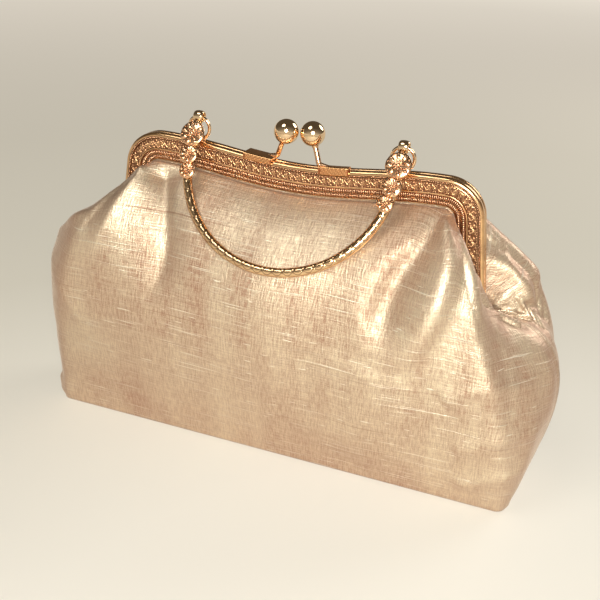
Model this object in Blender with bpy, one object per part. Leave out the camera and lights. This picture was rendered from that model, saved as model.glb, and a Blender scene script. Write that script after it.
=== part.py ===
# Silk clutch bag with a kiss-lock frame and a rigid handle that swings on two rings.
# Metres, +Z up. The origin is the middle of the base, the front faces -Y, +X is the front's right.
import math

import bmesh
import bpy
from mathutils import Matrix, Vector

MM = 0.001
DEGREE = math.pi / 180
QUARTER = math.pi / 2

# Fits
GAP = 0.3 * MM                  # between two pieces that touch on the real bag

# Frame: two folded channels, each bent to a U and hinged at the ends of its arms
FRAME_WIDTH = 205 * MM          # over both arms at the hinges
FRAME_TOP = 162 * MM            # shoulders of the rail over the table
RAIL_DIP = 5.9 * MM             # how far the rail's middle lies under its shoulders
CORNER_RADIUS = 20 * MM
ARM_SPLAY = 7.5 * DEGREE        # the arms spread towards the hinges
HINGE_HEIGHT = 100 * MM         # rivets over the table
BAND_WIDTH = 14 * MM            # face of the channel
FRAME_HALF_DEPTH = 4.2 * MM     # from the parting plane to the outer face
FRAME_WALL = 0.8 * MM
RAIL_ROUNDING = 1.8 * MM        # rounded top edge of the channel
CROWN_WALL = 1.2 * MM           # metal at the bottom of the groove

# Hinge
EAR_RADIUS = 4 * MM
EAR_THICKNESS = 0.7 * MM
EAR_OVERLAP = 2.5 * MM          # how far an ear's neck runs up its arm
EAR_INSET = 0.05 * MM           # front ear, from the arm's outer face
RIVET_RADIUS = 1.2 * MM
RIVET_HEAD_RADIUS = 2.2 * MM
RIVET_HEAD_HEIGHT = 0.7 * MM

# Cloth
SILK_THICKNESS = 0.6 * MM       # silk with its bonded interfacing
LINING_THICKNESS = 0.4 * MM
LINING_OFFSET = 1 * MM          # between the middles of the silk and the lining
BASE_HALF_LENGTH = 130.5 * MM
BASE_HALF_DEPTH = 27 * MM
BASE_CORNER_RADIUS = 5 * MM
BOARD_THICKNESS = 2 * MM
CORD_RADIUS = 0.8 * MM

# Pouch: strings of cloth from the base's edge to the frame, from the middle of a panel to the side seam
SWELL_HEIGHT = 45 * MM          # height of the lower handle of each string
SWELL = 13 * MM                 # how far the lower handle stands out at the middle
PUFF = 62 * MM                  # how far the upper handle stands out at the middle
PUFF_RISE = 28 * MM             # how far the upper handle lies under the frame's edge at the middle
SEAM_TOP = 93 * MM              # height of the side seam's top end
SEAM_TOP_X = 98 * MM
FOLD_OUT = 1 * MM               # cloth in front of the channel's lip, from the lip's face
FOLD_DOWN = 1.3 * MM            # the fold's reach past the rail's lower edge
FOLD_BACK = -0.3 * MM           # the same at the arms, where the cloth folds back over the arm

# Clasp
BALL_RADIUS = 6.3 * MM
BALL_CLEARANCE = 0.3 * MM       # the balls pass each other with this much room
BALL_HEIGHT = 16.1 * MM         # centre over the middle of the rail
BALL_CROSSING = 1.5 * MM        # each ball leans past the parting plane
PLATE_START = 12.6 * MM
PLATE_END = 28.1 * MM
PLATE_THICKNESS = 1.2 * MM
PLATE_SKIRT = 2.4 * MM          # how far the plate's face hangs down the rail's face
SKIRT_THICKNESS = 0.45 * MM
STEM_RADIUS = 1.1 * MM
STEM_BEND = 3 * MM
STEM_SEAT = 0.05 * MM          # the stem's underside over the plate's underside

# Rings and lugs
RING_RADIUS = 5.7 * MM
RING_WIRE = 0.9 * MM
RING_RISE = 1.25 * MM           # middle of the ring's lowest wire over the rail
LUG_LENGTH = 5 * MM
LUG_WIDTH = 3.6 * MM
LUG_HEIGHT = 3.4 * MM

# Handle, in its own plane, which leans forward from the rings onto the cloth
HANDLE_RADIUS = 54 * MM
HANDLE_STRAIGHT = 17.5 * MM     # from the swing axis to the start of the half circle
HANDLE_LEAN = 32 * DEGREE
BAR_RADIUS = 2 * MM
EYE_INNER = 1.7 * MM
EYE_OUTER = 2.9 * MM
EYE_WIDTH = 4 * MM
LARGE_FLOWER = 5.9 * MM
MIDDLE_FLOWER = 4.6 * MM
LOWER_FLOWER = 4 * MM
FLOWER_THICKNESS = 2.6 * MM

# Steps of the meshes
RAIL_STEPS = 12
CORNER_STEPS = 8
PANEL_COLUMNS = (6, 4, 2, 2, 1)  # half a panel's top: rail, corner, arm, past the arm, round the ear
BASE_COLUMNS = (10, 2, 3)       # the same columns at the base: long edge, corner, short edge
PANEL_ROWS = 10
ROUND_STEPS = 20
TUBE_SIDES = 8
CORD_SIDES = 6
PLATE_STEPS = 6
BAR_STEPS = 36
STRAIGHT_STEPS = 3
LUG_STEPS = 3
PETAL_STEPS = 4
SMOOTH_ANGLE = 40 * DEGREE
HALVINGS = 40                   # steps that find a height on a string

# Shares along half a panel: at its middle, quarter, half, three quarters and its side seam
TURN_SHARES = {
    "front_left": (0, 0, 0.1, 0.82, 1),
    "front_right": (0, 0, 0.1, 0.55, 1),
    "back_left": (0, 0, 0.1, 0.75, 1),
    "back_right": (0, 0, 0.1, 0.7, 1),
}
SWELL_SHARES = {
    "front_left": (1, 1, 0.9, 0, 1.2),
    "front_right": (1, 1, 1.1, 1.1, 1.4),
    "back_left": (1, 1, 0.9, 0.3, 1.2),
    "back_right": (1, 1, 1.1, 1, 1.4),
}
PUFF_SHARES = {
    "front_left": (1, 0.91, 0.89, 1.22, 0.98),
    "front_right": (1, 0.91, 0.89, 0.56, 0.96),
    "back_left": (1, 0.91, 0.87, 0.97, 0.96),
    "back_right": (1, 0.91, 0.91, 1.06, 0.96),
}
RISE_SHARES = {
    "front_left": (1, 0.98, 0.72, 0.15, -0.45),
    "front_right": (1, 0.98, 0.75, 0.3, -0.45),
    "back_left": (1, 0.98, 0.8, 0.2, -0.45),
    "back_right": (1, 0.98, 0.7, -0.6, -0.45),
}
EAR_ROUND_SHARE = 0.25          # drop of the cloth's edge round the ear, of its way round
SEAM_RISE_SHARE = 0.4           # rise of the rows at the seam's top, of the arm's end over it

# Shares of the channel's rounding: into the U and from a face, at the points round its top
OUTER_CROWN_SHARES = ((0.3, 0.35), (0, 1))
INNER_CROWN_SHARES = ((0, 0.6), (0.2, 0.15), (0.6, 0))

RIVET_DOME_SHARE = 0.9          # radius of a rivet's head at half its height
RIVET_CAP_SHARE = 0.5           # and at its top
STEM_SHARES = (0.125, 0.5, 0.25)  # of the bend: rise at the plate's end, rise of the heel, its reach
FLOWER_SHARES = ((1, 0), (1, 0.35), (0.8, 0.75), (0.45, 0.6), (0.3, 0.7), (0.22, 1))  # radius, height
PETALS = 6
PETAL_SHARE = 0.14


def share_at(shares, place):
    # Smooth curve through evenly spaced shares, place from 0 to 1.
    last = len(shares) - 1
    spot = min(max(place, 0), 1) * last
    first = min(int(spot), last - 1)
    t = spot - first
    before = shares[max(first - 1, 0)]
    after = shares[min(first + 2, last)]
    start, end = shares[first], shares[first + 1]
    slope_in, slope_out = (end - before) / 2, (after - start) / 2
    return (
        start * (2 * t ** 3 - 3 * t ** 2 + 1)
        + slope_in * (t ** 3 - 2 * t ** 2 + t)
        + end * (3 * t ** 2 - 2 * t ** 3)
        + slope_out * (t ** 3 - t ** 2)
    )


# Frame line


def arm_turn():
    return QUARTER - ARM_SPLAY


def corner_height():
    # Where the corner runs into the arm.
    return FRAME_TOP - CORNER_RADIUS * (1 - math.cos(arm_turn()))


def arm_x(height):
    # Outer face of the right arm.
    return FRAME_WIDTH / 2 - (height - HINGE_HEIGHT) * math.tan(ARM_SPLAY)


def half_rail():
    return arm_x(corner_height()) - CORNER_RADIUS * math.sin(arm_turn())


def arm_end():
    # The arms stop clear of the ears, which turn about the rivets.
    return HINGE_HEIGHT + EAR_RADIUS + 3 * GAP


def arm_length(stop):
    return (corner_height() - stop) / math.cos(ARM_SPLAY)


def rail_height(x):
    along = min(abs(x) / half_rail(), 1)
    return FRAME_TOP - RAIL_DIP * (1 + math.cos(math.pi * along)) / 2


def frame_spot(x=0, turn=0, down=0):
    # A point of the channel's outer edge right of the middle, and the direction into the U.
    if x < half_rail():
        slope = RAIL_DIP * math.pi / (2 * half_rail()) * math.sin(math.pi * x / half_rail())
        size = math.hypot(1, slope)
        return Vector((x, 0, rail_height(x))), Vector((slope / size, 0, -1 / size))
    out = Vector((math.sin(turn), 0, math.cos(turn)))
    along = Vector((math.cos(turn), 0, -math.sin(turn)))
    middle = Vector((half_rail(), 0, FRAME_TOP - CORNER_RADIUS))
    return middle + out * CORNER_RADIUS + along * down, -out


def frame_line(stop):
    # Stations from the left arm's end over the rail to the right arm's end.
    right = [frame_spot(x=half_rail() * i / RAIL_STEPS) for i in range(1, RAIL_STEPS)]
    right += [frame_spot(half_rail(), arm_turn() * i / CORNER_STEPS) for i in range(CORNER_STEPS + 1)]
    right.append(frame_spot(half_rail(), arm_turn(), arm_length(stop)))
    left = [(mirror_x(point), mirror_x(inward)) for point, inward in reversed(right)]
    return left + [frame_spot()] + right


def mirror_x(v):
    return Vector((-v.x, v.y, v.z))


def at_frame(station, inward, y):
    point, direction = station
    return Vector((point.x, y, point.z)) + direction * inward


# Mesh helpers


def clear_scene():
    for thing in list(bpy.data.objects):
        bpy.data.objects.remove(thing, do_unlink=True)


def make_material(name, color, roughness, metallic):
    material = bpy.data.materials.new(name)
    material.use_nodes = True
    shader = material.node_tree.nodes["Principled BSDF"]
    shader.inputs["Base Color"].default_value = (*color, 1)
    shader.inputs["Roughness"].default_value = roughness
    shader.inputs["Metallic"].default_value = metallic
    return material


def add_object(name, mesh, material, parent):
    mesh.materials.clear()
    mesh.materials.append(material)
    thing = bpy.data.objects.new(name, mesh)
    bpy.context.scene.collection.objects.link(thing)
    if parent:
        thing.parent = parent
        thing.matrix_parent_inverse = Matrix.Translation(-parent.location)
    return thing


def finish_mesh(name, shape):
    bmesh.ops.recalc_face_normals(shape, faces=shape.faces)
    mesh = bpy.data.meshes.new(name)
    shape.to_mesh(mesh)
    shape.free()
    mesh.shade_smooth()
    mesh.set_sharp_from_angle(angle=SMOOTH_ANGLE)
    return mesh


def add_empty(name, place, parent=None):
    empty = bpy.data.objects.new(name, None)
    bpy.context.scene.collection.objects.link(empty)
    empty.location = place
    if parent:
        empty.parent = parent
        empty.matrix_parent_inverse = Matrix.Translation(-parent.location)
    return empty


def bridge_loops(shape, loops, ring=False):
    # Skin over loops of points; the ends are capped unless the loops close to a ring.
    rows = [[shape.verts.new(point) for point in loop] for loop in loops]
    pairs = list(zip(rows, rows[1:] + rows[:1])) if ring else list(zip(rows, rows[1:]))
    for one, two in pairs:
        for i in range(len(one)):
            j = (i + 1) % len(one)
            shape.faces.new((one[i], one[j], two[j], two[i]))
    if not ring:
        shape.faces.new(rows[0])
        shape.faces.new(rows[-1])


def skinned(name, loops, ring=False):
    shape = bmesh.new()
    bridge_loops(shape, loops, ring)
    return finish_mesh(name, shape)


def joined(name, meshes, operation):
    # Exact Boolean of a list of meshes, applied.
    base = add_object(name + "_work", meshes[0], make_material(name + "_work", (1, 1, 1), 1, 0), None)
    cutters = []
    for index, mesh in enumerate(meshes[1:]):
        cutter = add_object(f"{name}_tool_{index}", mesh, base.data.materials[0], None)
        cutter.hide_render = True
        cutter.display_type = "WIRE"
        step = base.modifiers.new(f"step_{index}", "BOOLEAN")
        step.operation = operation
        step.solver = "EXACT"
        step.object = cutter
        cutters.append(cutter)
    evaluated = base.evaluated_get(bpy.context.evaluated_depsgraph_get())
    result = bpy.data.meshes.new_from_object(evaluated)
    for thing in cutters + [base]:
        bpy.data.objects.remove(thing, do_unlink=True)
    result.name = name
    result.shade_smooth()
    result.set_sharp_from_angle(angle=SMOOTH_ANGLE)
    return result


def ring_of(centre, axis_one, axis_two, radius, steps):
    angles = [2 * math.pi * i / steps for i in range(steps)]
    return [centre + (axis_one * math.cos(a) + axis_two * math.sin(a)) * radius for a in angles]


def tube_loops(points, radius, sides):
    loops = []
    side = None
    for i, point in enumerate(points):
        ahead = points[min(i + 1, len(points) - 1)] - points[max(i - 1, 0)]
        ahead.normalize()
        if side is None:
            side = ahead.orthogonal().normalized()
        side = (side - ahead * side.dot(ahead)).normalized()
        loops.append(ring_of(point, side, ahead.cross(side), radius, sides))
    return loops


def turned(name, profile, place, axis, steps):
    # Solid of revolution: the profile holds pairs of place along the axis and radius.
    side = axis.orthogonal().normalized()
    other = axis.cross(side)
    shape = bmesh.new()
    loops = [ring_of(place + axis * along, side, other, radius, steps) for along, radius in profile]
    bridge_loops(shape, loops)
    return finish_mesh(name, shape)


# Frame


def channel_section(front):
    # Places into the U and depths, round the folded metal.
    inner = GAP / 2
    outer = FRAME_HALF_DEPTH
    section = [(BAND_WIDTH, outer), (RAIL_ROUNDING, outer)]
    section += [(RAIL_ROUNDING * a, outer - RAIL_ROUNDING * b) for a, b in OUTER_CROWN_SHARES]
    section += [(RAIL_ROUNDING * a, inner + RAIL_ROUNDING * b) for a, b in INNER_CROWN_SHARES]
    section += [
        (BAND_WIDTH, inner),
        (BAND_WIDTH, inner + FRAME_WALL),
        (CROWN_WALL, inner + FRAME_WALL),
        (CROWN_WALL, outer - FRAME_WALL),
        (BAND_WIDTH, outer - FRAME_WALL),
    ]
    side = -1 if front else 1
    return [(inward, side * depth) for inward, depth in section]


def channel_middle():
    return (FRAME_HALF_DEPTH + GAP / 2) / 2


def ear_start(front):
    # The front frame's ears lie outside the back frame's, from the outer face of the arm inwards.
    return EAR_INSET if front else EAR_INSET + EAR_THICKNESS + GAP


def ear_face():
    return arm_x(arm_end() + EAR_OVERLAP / 2)


def ear_mesh(name, front, right):
    side = -1 if front else 1
    hand = 1 if right else -1
    start = ear_start(front)
    hole = RIVET_RADIUS + GAP
    neck = (channel_middle() - (FRAME_HALF_DEPTH - RAIL_ROUNDING)) if front else FRAME_WALL + GAP / 2
    near = side * max(neck, GAP)
    far = side * (FRAME_HALF_DEPTH - FRAME_WALL / 2)
    top = arm_end() + EAR_OVERLAP
    bottom = HINGE_HEIGHT
    loops = []
    for inward in (start, start + EAR_THICKNESS):
        x = hand * (ear_face() - inward)
        loops.append([Vector((x, y, z)) for y, z in ((near, bottom), (near, top), (far, top), (far, bottom))])
    tongue = skinned(name + "_tongue", loops)
    place = Vector((hand * (ear_face() - start), 0, HINGE_HEIGHT))
    axis = Vector((-hand, 0, 0))
    disc = turned(name + "_disc", ((0, EAR_RADIUS), (EAR_THICKNESS, EAR_RADIUS)), place, axis, ROUND_STEPS)
    bore = turned(
        name + "_bore", ((-EAR_THICKNESS, hole), (2 * EAR_THICKNESS, hole)), place, axis, ROUND_STEPS
    )
    return tongue, disc, bore


def make_frame(name, front, material, parent):
    line = frame_line(arm_end())
    loops = [[at_frame(station, inward, y) for inward, y in channel_section(front)] for station in line]
    channel = skinned(name + "_channel", loops)
    bodies, bores = [channel], []
    for right in (False, True):
        tongue, disc, bore = ear_mesh(f"{name}_{right}", front, right)
        bodies += [tongue, disc]
        bores.append(bore)
    whole = joined(name + "_whole", bodies, "UNION")
    return add_object(name, joined(name, [whole] + bores, "DIFFERENCE"), material, parent)


def make_channel_cord(name, front, material, parent):
    depth = (-1 if front else 1) * channel_middle()
    line = frame_line(arm_end() + EAR_OVERLAP + GAP)
    path = [at_frame(station, CROWN_WALL + GAP + CORD_RADIUS, depth) for station in line]
    return add_object(name, skinned(name, tube_loops(path, CORD_RADIUS, CORD_SIDES)), material, parent)


def make_rivet(name, right, material, parent):
    hand = 1 if right else -1
    inner_end = ear_start(False) + EAR_THICKNESS + GAP
    head = RIVET_HEAD_HEIGHT
    profile = (
        (-GAP - head, RIVET_HEAD_RADIUS * RIVET_CAP_SHARE),
        (-GAP - head / 2, RIVET_HEAD_RADIUS * RIVET_DOME_SHARE),
        (-GAP, RIVET_HEAD_RADIUS),
        (-GAP, RIVET_RADIUS),
        (inner_end, RIVET_RADIUS),
        (inner_end, RIVET_HEAD_RADIUS),
        (inner_end + head / 2, RIVET_HEAD_RADIUS * RIVET_DOME_SHARE),
        (inner_end + head, RIVET_HEAD_RADIUS * RIVET_CAP_SHARE),
    )
    place = Vector((hand * ear_face(), 0, HINGE_HEIGHT))
    mesh = turned(name, profile, place, Vector((-hand, 0, 0)), ROUND_STEPS)
    return add_object(name, mesh, material, parent)


# Clasp: the front frame carries the right ball, which leans back, and the back frame the left one


def clasp_side(front):
    return (1, -1) if front else (-1, 1)


def ball_place(front):
    hand, side = clasp_side(front)
    x = hand * (BALL_RADIUS + BALL_CLEARANCE / 2)
    return Vector((x, -side * BALL_CROSSING, rail_height(0) + BALL_HEIGHT))


def clasp_station(x):
    hand = 1 if x > 0 else -1
    point, inward = frame_spot(x=abs(x))
    return (point, inward) if hand > 0 else (mirror_x(point), mirror_x(inward))


def plate_section(side):
    outer = FRAME_HALF_DEPTH + GAP + SKIRT_THICKNESS
    top = -GAP - PLATE_THICKNESS
    section = (
        (PLATE_SKIRT, outer),
        (top + SKIRT_THICKNESS, outer),
        (top, outer - SKIRT_THICKNESS),
        (top, GAP),
        (-GAP, GAP),
        (-GAP, outer - SKIRT_THICKNESS),
        (PLATE_SKIRT, outer - SKIRT_THICKNESS),
    )
    return [(inward, side * depth) for inward, depth in section]


def make_clasp_plate(name, front, material, parent):
    hand, side = clasp_side(front)
    places = [PLATE_START + (PLATE_END - PLATE_START) * i / PLATE_STEPS for i in range(PLATE_STEPS + 1)]
    stations = [clasp_station(hand * x) for x in places]
    loops = [[at_frame(s, inward, y) for inward, y in plate_section(side)] for s in stations]
    plate = skinned(name + "_plate", loops)
    foot = clasp_station(hand * (PLATE_START + STEM_BEND))
    toe = clasp_station(hand * PLATE_START)
    lift = -GAP - STEM_RADIUS - STEM_SEAT
    toe_share, heel_share, reach_share = STEM_SHARES
    depth = side * channel_middle()
    ball = ball_place(front)
    reach = Vector((hand * STEM_BEND * reach_share, 0, 0))
    heel = at_frame(toe, lift - STEM_BEND * heel_share, depth) - reach
    up = (ball - heel).normalized()
    path = [
        at_frame(foot, lift, depth),
        at_frame(toe, lift - STEM_BEND * toe_share, depth),
        heel,
        heel + up * STEM_BEND * heel_share,
        ball - up * (BALL_RADIUS + GAP),
    ]
    stem = skinned(name + "_stem", tube_loops(path, STEM_RADIUS, TUBE_SIDES))
    return add_object(name, joined(name, [plate, stem], "UNION"), material, parent)


def make_ball(name, front, material, parent):
    shape = bmesh.new()
    bmesh.ops.create_uvsphere(
        shape,
        u_segments=ROUND_STEPS,
        v_segments=ROUND_STEPS // 2 + 2,
        radius=BALL_RADIUS,
        matrix=Matrix.Translation(ball_place(front)),
    )
    return add_object(name, finish_mesh(name, shape), material, parent)


# Rings and lugs on the front rail


def ring_depth():
    return -channel_middle()


def ring_centre(hand):
    x = hand * HANDLE_RADIUS
    return Vector((x, ring_depth(), rail_height(x) + RING_RISE + RING_RADIUS))


def swing_axis():
    return ring_centre(1) + Vector((-HANDLE_RADIUS, 0, RING_RADIUS))


def ring_mesh(name, hand, wire, steps):
    centre = ring_centre(hand)
    out, up, back = Vector((1, 0, 0)), Vector((0, 0, 1)), Vector((0, 1, 0))
    loops = []
    for i in range(steps):
        angle = 2 * math.pi * i / steps
        spoke = out * math.cos(angle) + up * math.sin(angle)
        loops.append(ring_of(centre + spoke * RING_RADIUS, spoke, back, wire, TUBE_SIDES))
    return skinned(name, loops, ring=True)


def make_ring(name, hand, material, parent):
    return add_object(name, ring_mesh(name, hand, RING_WIRE, ROUND_STEPS), material, parent)


def make_lug(name, hand, material, parent):
    half = LUG_WIDTH / 2
    foot, shoulder = -GAP, -GAP - LUG_HEIGHT + half
    section = [(foot, half), (shoulder, half)]
    angles = [math.pi * i / (LUG_STEPS + 1) for i in range(1, LUG_STEPS + 1)]
    section += [(shoulder - half * math.sin(a), half * math.cos(a)) for a in angles]
    section += [(shoulder, -half), (foot, -half)]
    stations = [clasp_station(hand * HANDLE_RADIUS + LUG_LENGTH * (i - 1) / 2) for i in range(3)]
    loops = [[at_frame(s, inward, ring_depth() + y) for inward, y in section] for s in stations]
    block = skinned(name + "_block", loops)
    bore = ring_mesh(name + "_bore", hand, RING_WIRE + GAP, 2 * ROUND_STEPS)
    return add_object(name, joined(name, [block, bore], "DIFFERENCE"), material, parent)


# Handle: x across, s down from the swing axis, h out of the handle's plane


def handle_place(x, s, h):
    down = Vector((0, -math.sin(HANDLE_LEAN), -math.cos(HANDLE_LEAN)))
    out = Vector((0, -math.cos(HANDLE_LEAN), math.sin(HANDLE_LEAN)))
    return swing_axis() + Vector((x, 0, 0)) + down * s + out * h


def bar_half_width(s):
    if s < HANDLE_STRAIGHT:
        return HANDLE_RADIUS
    return math.sqrt(HANDLE_RADIUS ** 2 - (s - HANDLE_STRAIGHT) ** 2)


def make_bar(name, material, parent):
    start = EYE_OUTER + GAP
    straight = [start + (HANDLE_STRAIGHT - start) * i / STRAIGHT_STEPS for i in range(STRAIGHT_STEPS)]
    points = [handle_place(-HANDLE_RADIUS, s, 0) for s in straight]
    for i in range(BAR_STEPS + 1):
        angle = math.pi * i / BAR_STEPS
        x = -HANDLE_RADIUS * math.cos(angle)
        points.append(handle_place(x, HANDLE_STRAIGHT + HANDLE_RADIUS * math.sin(angle), 0))
    points += [handle_place(HANDLE_RADIUS, s, 0) for s in reversed(straight)]
    return add_object(name, skinned(name, tube_loops(points, BAR_RADIUS, TUBE_SIDES)), material, parent)


def make_eye(name, hand, material, parent):
    half, edge = EYE_WIDTH / 2, (EYE_OUTER - EYE_INNER) / 4
    section = (
        (-half, EYE_INNER + edge),
        (-half + edge, EYE_INNER),
        (half - edge, EYE_INNER),
        (half, EYE_INNER + edge),
        (half, EYE_OUTER - edge),
        (half - edge, EYE_OUTER),
        (-half + edge, EYE_OUTER),
        (-half, EYE_OUTER - edge),
    )
    centre = swing_axis() + Vector((hand * HANDLE_RADIUS, 0, 0))
    loops = []
    for i in range(ROUND_STEPS):
        angle = 2 * math.pi * i / ROUND_STEPS
        spoke = Vector((0, math.cos(angle), math.sin(angle)))
        loops.append([centre + Vector((along, 0, 0)) + spoke * radius for along, radius in section])
    return add_object(name, skinned(name, loops, ring=True), material, parent)


def make_flower(name, hand, s, radius, material, parent):
    # A domed blossom with a button in its middle, seated on the front of the bar.
    steps = PETAL_STEPS * PETALS
    base = BAR_RADIUS + GAP
    x = hand * bar_half_width(s)
    loops = []
    for share, height in FLOWER_SHARES:
        loop = []
        for i in range(steps):
            angle = 2 * math.pi * i / steps
            lobe = 1 - PETAL_SHARE * share * (1 - abs(math.cos(PETALS * angle / 2)))
            reach = radius * share * lobe
            place = handle_place(x + reach * math.sin(angle), s + reach * math.cos(angle), base)
            rise = handle_place(0, 0, FLOWER_THICKNESS * height) - handle_place(0, 0, 0)
            loop.append(place + rise)
        loops.append(loop)
    return add_object(name, skinned(name, loops), material, parent)


def flower_places():
    large = EYE_OUTER - GAP + LARGE_FLOWER
    middle = large + LARGE_FLOWER + MIDDLE_FLOWER + GAP
    lower = middle + MIDDLE_FLOWER + LOWER_FLOWER + GAP
    return (("large", large, LARGE_FLOWER), ("middle", middle, MIDDLE_FLOWER), ("lower", lower, LOWER_FLOWER))


# Pouch


def base_lengths():
    return (
        BASE_HALF_LENGTH - BASE_CORNER_RADIUS,
        BASE_CORNER_RADIUS * QUARTER,
        BASE_HALF_DEPTH - BASE_CORNER_RADIUS,
    )


def base_line(reach):
    # The base's edge right of the middle, from the front's middle to the side seam.
    straight, bend, side = base_lengths()
    if reach < straight:
        return Vector((reach, -BASE_HALF_DEPTH, 0))
    if reach < straight + bend:
        angle = (reach - straight) / BASE_CORNER_RADIUS
        return Vector((
            straight + BASE_CORNER_RADIUS * math.sin(angle),
            -side - BASE_CORNER_RADIUS * math.cos(angle),
            0,
        ))
    return Vector((BASE_HALF_LENGTH, -side + (reach - straight - bend), 0))


def lip_points(station, depth, fold):
    # Four rows of cloth at the frame: the fold in front of the lip, round the lip, and up the groove.
    groove = -(FRAME_HALF_DEPTH - FRAME_WALL - GAP - SILK_THICKNESS / 2)
    face = -FRAME_HALF_DEPTH - FOLD_OUT
    return [
        at_frame(station, BAND_WIDTH + fold, face),
        at_frame(station, BAND_WIDTH + FOLD_OUT + GAP, -FRAME_HALF_DEPTH + GAP / 2),
        at_frame(station, BAND_WIDTH + FOLD_OUT, groove),
        at_frame(station, BAND_WIDTH / 2 + CROWN_WALL, groove),
        at_frame(station, depth, groove),
    ]


def hinge_points():
    # The same rows at the top end of the side seam, inside the ears.
    x, z = SEAM_TOP_X, SEAM_TOP
    step = (arm_end() - SEAM_TOP) / 4
    edge = GAP / 2 + SILK_THICKNESS
    rows = [Vector((x, -GAP / 2, z))]
    for i in range(1, 5):
        rows.append(Vector((x - i * GAP, -GAP / 2 - (edge * i) / 2, z + i * step * SEAM_RISE_SHARE)))
    return rows


def frame_lengths():
    # Lengths of cloth edge along the rail, its corner, the arm, past the arm and round the ear.
    bend = (CORNER_RADIUS - BAND_WIDTH) * arm_turn()
    return half_rail(), bend, arm_length(arm_end()), arm_end() - SEAM_TOP, FRAME_HALF_DEPTH + FOLD_OUT


def spread(lengths, counts):
    # Evenly spaced places within each length, so that columns meet its ends.
    places, start = [0], 0
    for length, count in zip(lengths, counts):
        places += [start + length * (i + 1) / count for i in range(count)]
        start += length
    return places


def frame_rows(reach):
    # Rows of cloth at the frame, this far from the rail's middle, right front quarter.
    depth = CROWN_WALL + 2 * CORD_RADIUS + 2 * GAP
    flat, bend, arm, up_ear, round_ear = frame_lengths()
    fold_share = min(max((reach - flat) / bend, 0), 1)
    fold = FOLD_DOWN + (FOLD_BACK - FOLD_DOWN) * fold_share
    if reach < flat:
        return lip_points(frame_spot(x=reach), depth, fold)
    if reach < flat + bend:
        return lip_points(frame_spot(half_rail(), (reach - flat) / bend * arm_turn()), depth, fold)
    down = reach - flat - bend
    if down < arm:
        return lip_points(frame_spot(half_rail(), arm_turn(), down), depth, fold)
    rows_arm = lip_points(frame_spot(half_rail(), arm_turn(), arm), depth, fold)
    rows_seam = hinge_points()
    past = down - arm
    t = past / (up_ear + round_ear)
    rows = [one.lerp(two, t) for one, two in zip(rows_arm, rows_seam)]
    below = Vector((SEAM_TOP_X - GAP, -round_ear, SEAM_TOP + round_ear * EAR_ROUND_SHARE))
    if past < up_ear:
        rows[0] = rows_arm[0].lerp(below, past / up_ear)
    else:
        rows[0] = below.lerp(rows_seam[0], (past - up_ear) / round_ear)
    return rows


def string_controls(frame_reach, base_reach, quarter, at_seam):
    top = frame_rows(frame_reach)
    share = frame_reach / sum(frame_lengths())
    turn = share_at(TURN_SHARES[quarter], share) * QUARTER
    outward = Vector((math.sin(turn), -math.cos(turn), 0))
    foot = base_line(base_reach)
    low = foot + outward * SWELL * share_at(SWELL_SHARES[quarter], share) + Vector((0, 0, SWELL_HEIGHT))
    rise = Vector((0, 0, -PUFF_RISE * share_at(RISE_SHARES[quarter], share)))
    high = top[0] + outward * PUFF * share_at(PUFF_SHARES[quarter], share) + rise
    if at_seam:
        foot.y = low.y = high.y = -GAP / 2
    return foot, low, high, top


def on_string(foot, low, high, end, t):
    return foot * (1 - t) ** 3 + low * 3 * t * (1 - t) ** 2 + high * 3 * t ** 2 * (1 - t) + end * t ** 3


def string_start(foot, low, high, end, height):
    # The place on the string where it reaches this height.
    below, above = 0, 1 / 2
    for _ in range(HALVINGS):
        middle = (below + above) / 2
        if on_string(foot, low, high, end, middle).z < height:
            below = middle
        else:
            above = middle
    return below


def panel_grid(side_name, start_height):
    # Points of half the pouch, front side; columns run from the left seam to the right seam.
    grid = []
    rows = PANEL_ROWS
    half = list(zip(spread(frame_lengths(), PANEL_COLUMNS), spread(base_lengths(), BASE_COLUMNS)))
    columns = [(-1, "left", places) for places in reversed(half[1:])]
    columns += [(1, "right", places) for places in half]
    for hand, hand_name, places in columns:
        at_seam = places == half[-1]
        foot, low, high, top = string_controls(*places, f"{side_name}_{hand_name}", at_seam)
        first = string_start(foot, low, high, top[0], start_height) if start_height else 0
        line = [on_string(foot, low, high, top[0], first + (1 - first) * r / rows) for r in range(rows + 1)]
        line += top[1:]
        line[0].z = start_height
        grid.append([Vector((hand * p.x, p.y, p.z)) for p in line])
    return grid


def grid_normals(grid):
    columns, rows = len(grid), len(grid[0])
    normals = []
    for i in range(columns):
        line = []
        for j in range(rows):
            across = grid[min(i + 1, columns - 1)][j] - grid[max(i - 1, 0)][j]
            up = grid[i][min(j + 1, rows - 1)] - grid[i][max(j - 1, 0)]
            normal = across.cross(up)
            if i in (0, columns - 1):
                normal.y = 0
            if j == 0:
                normal.z = 0
            line.append(normal.normalized())
        normals.append(line)
    return normals


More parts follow.
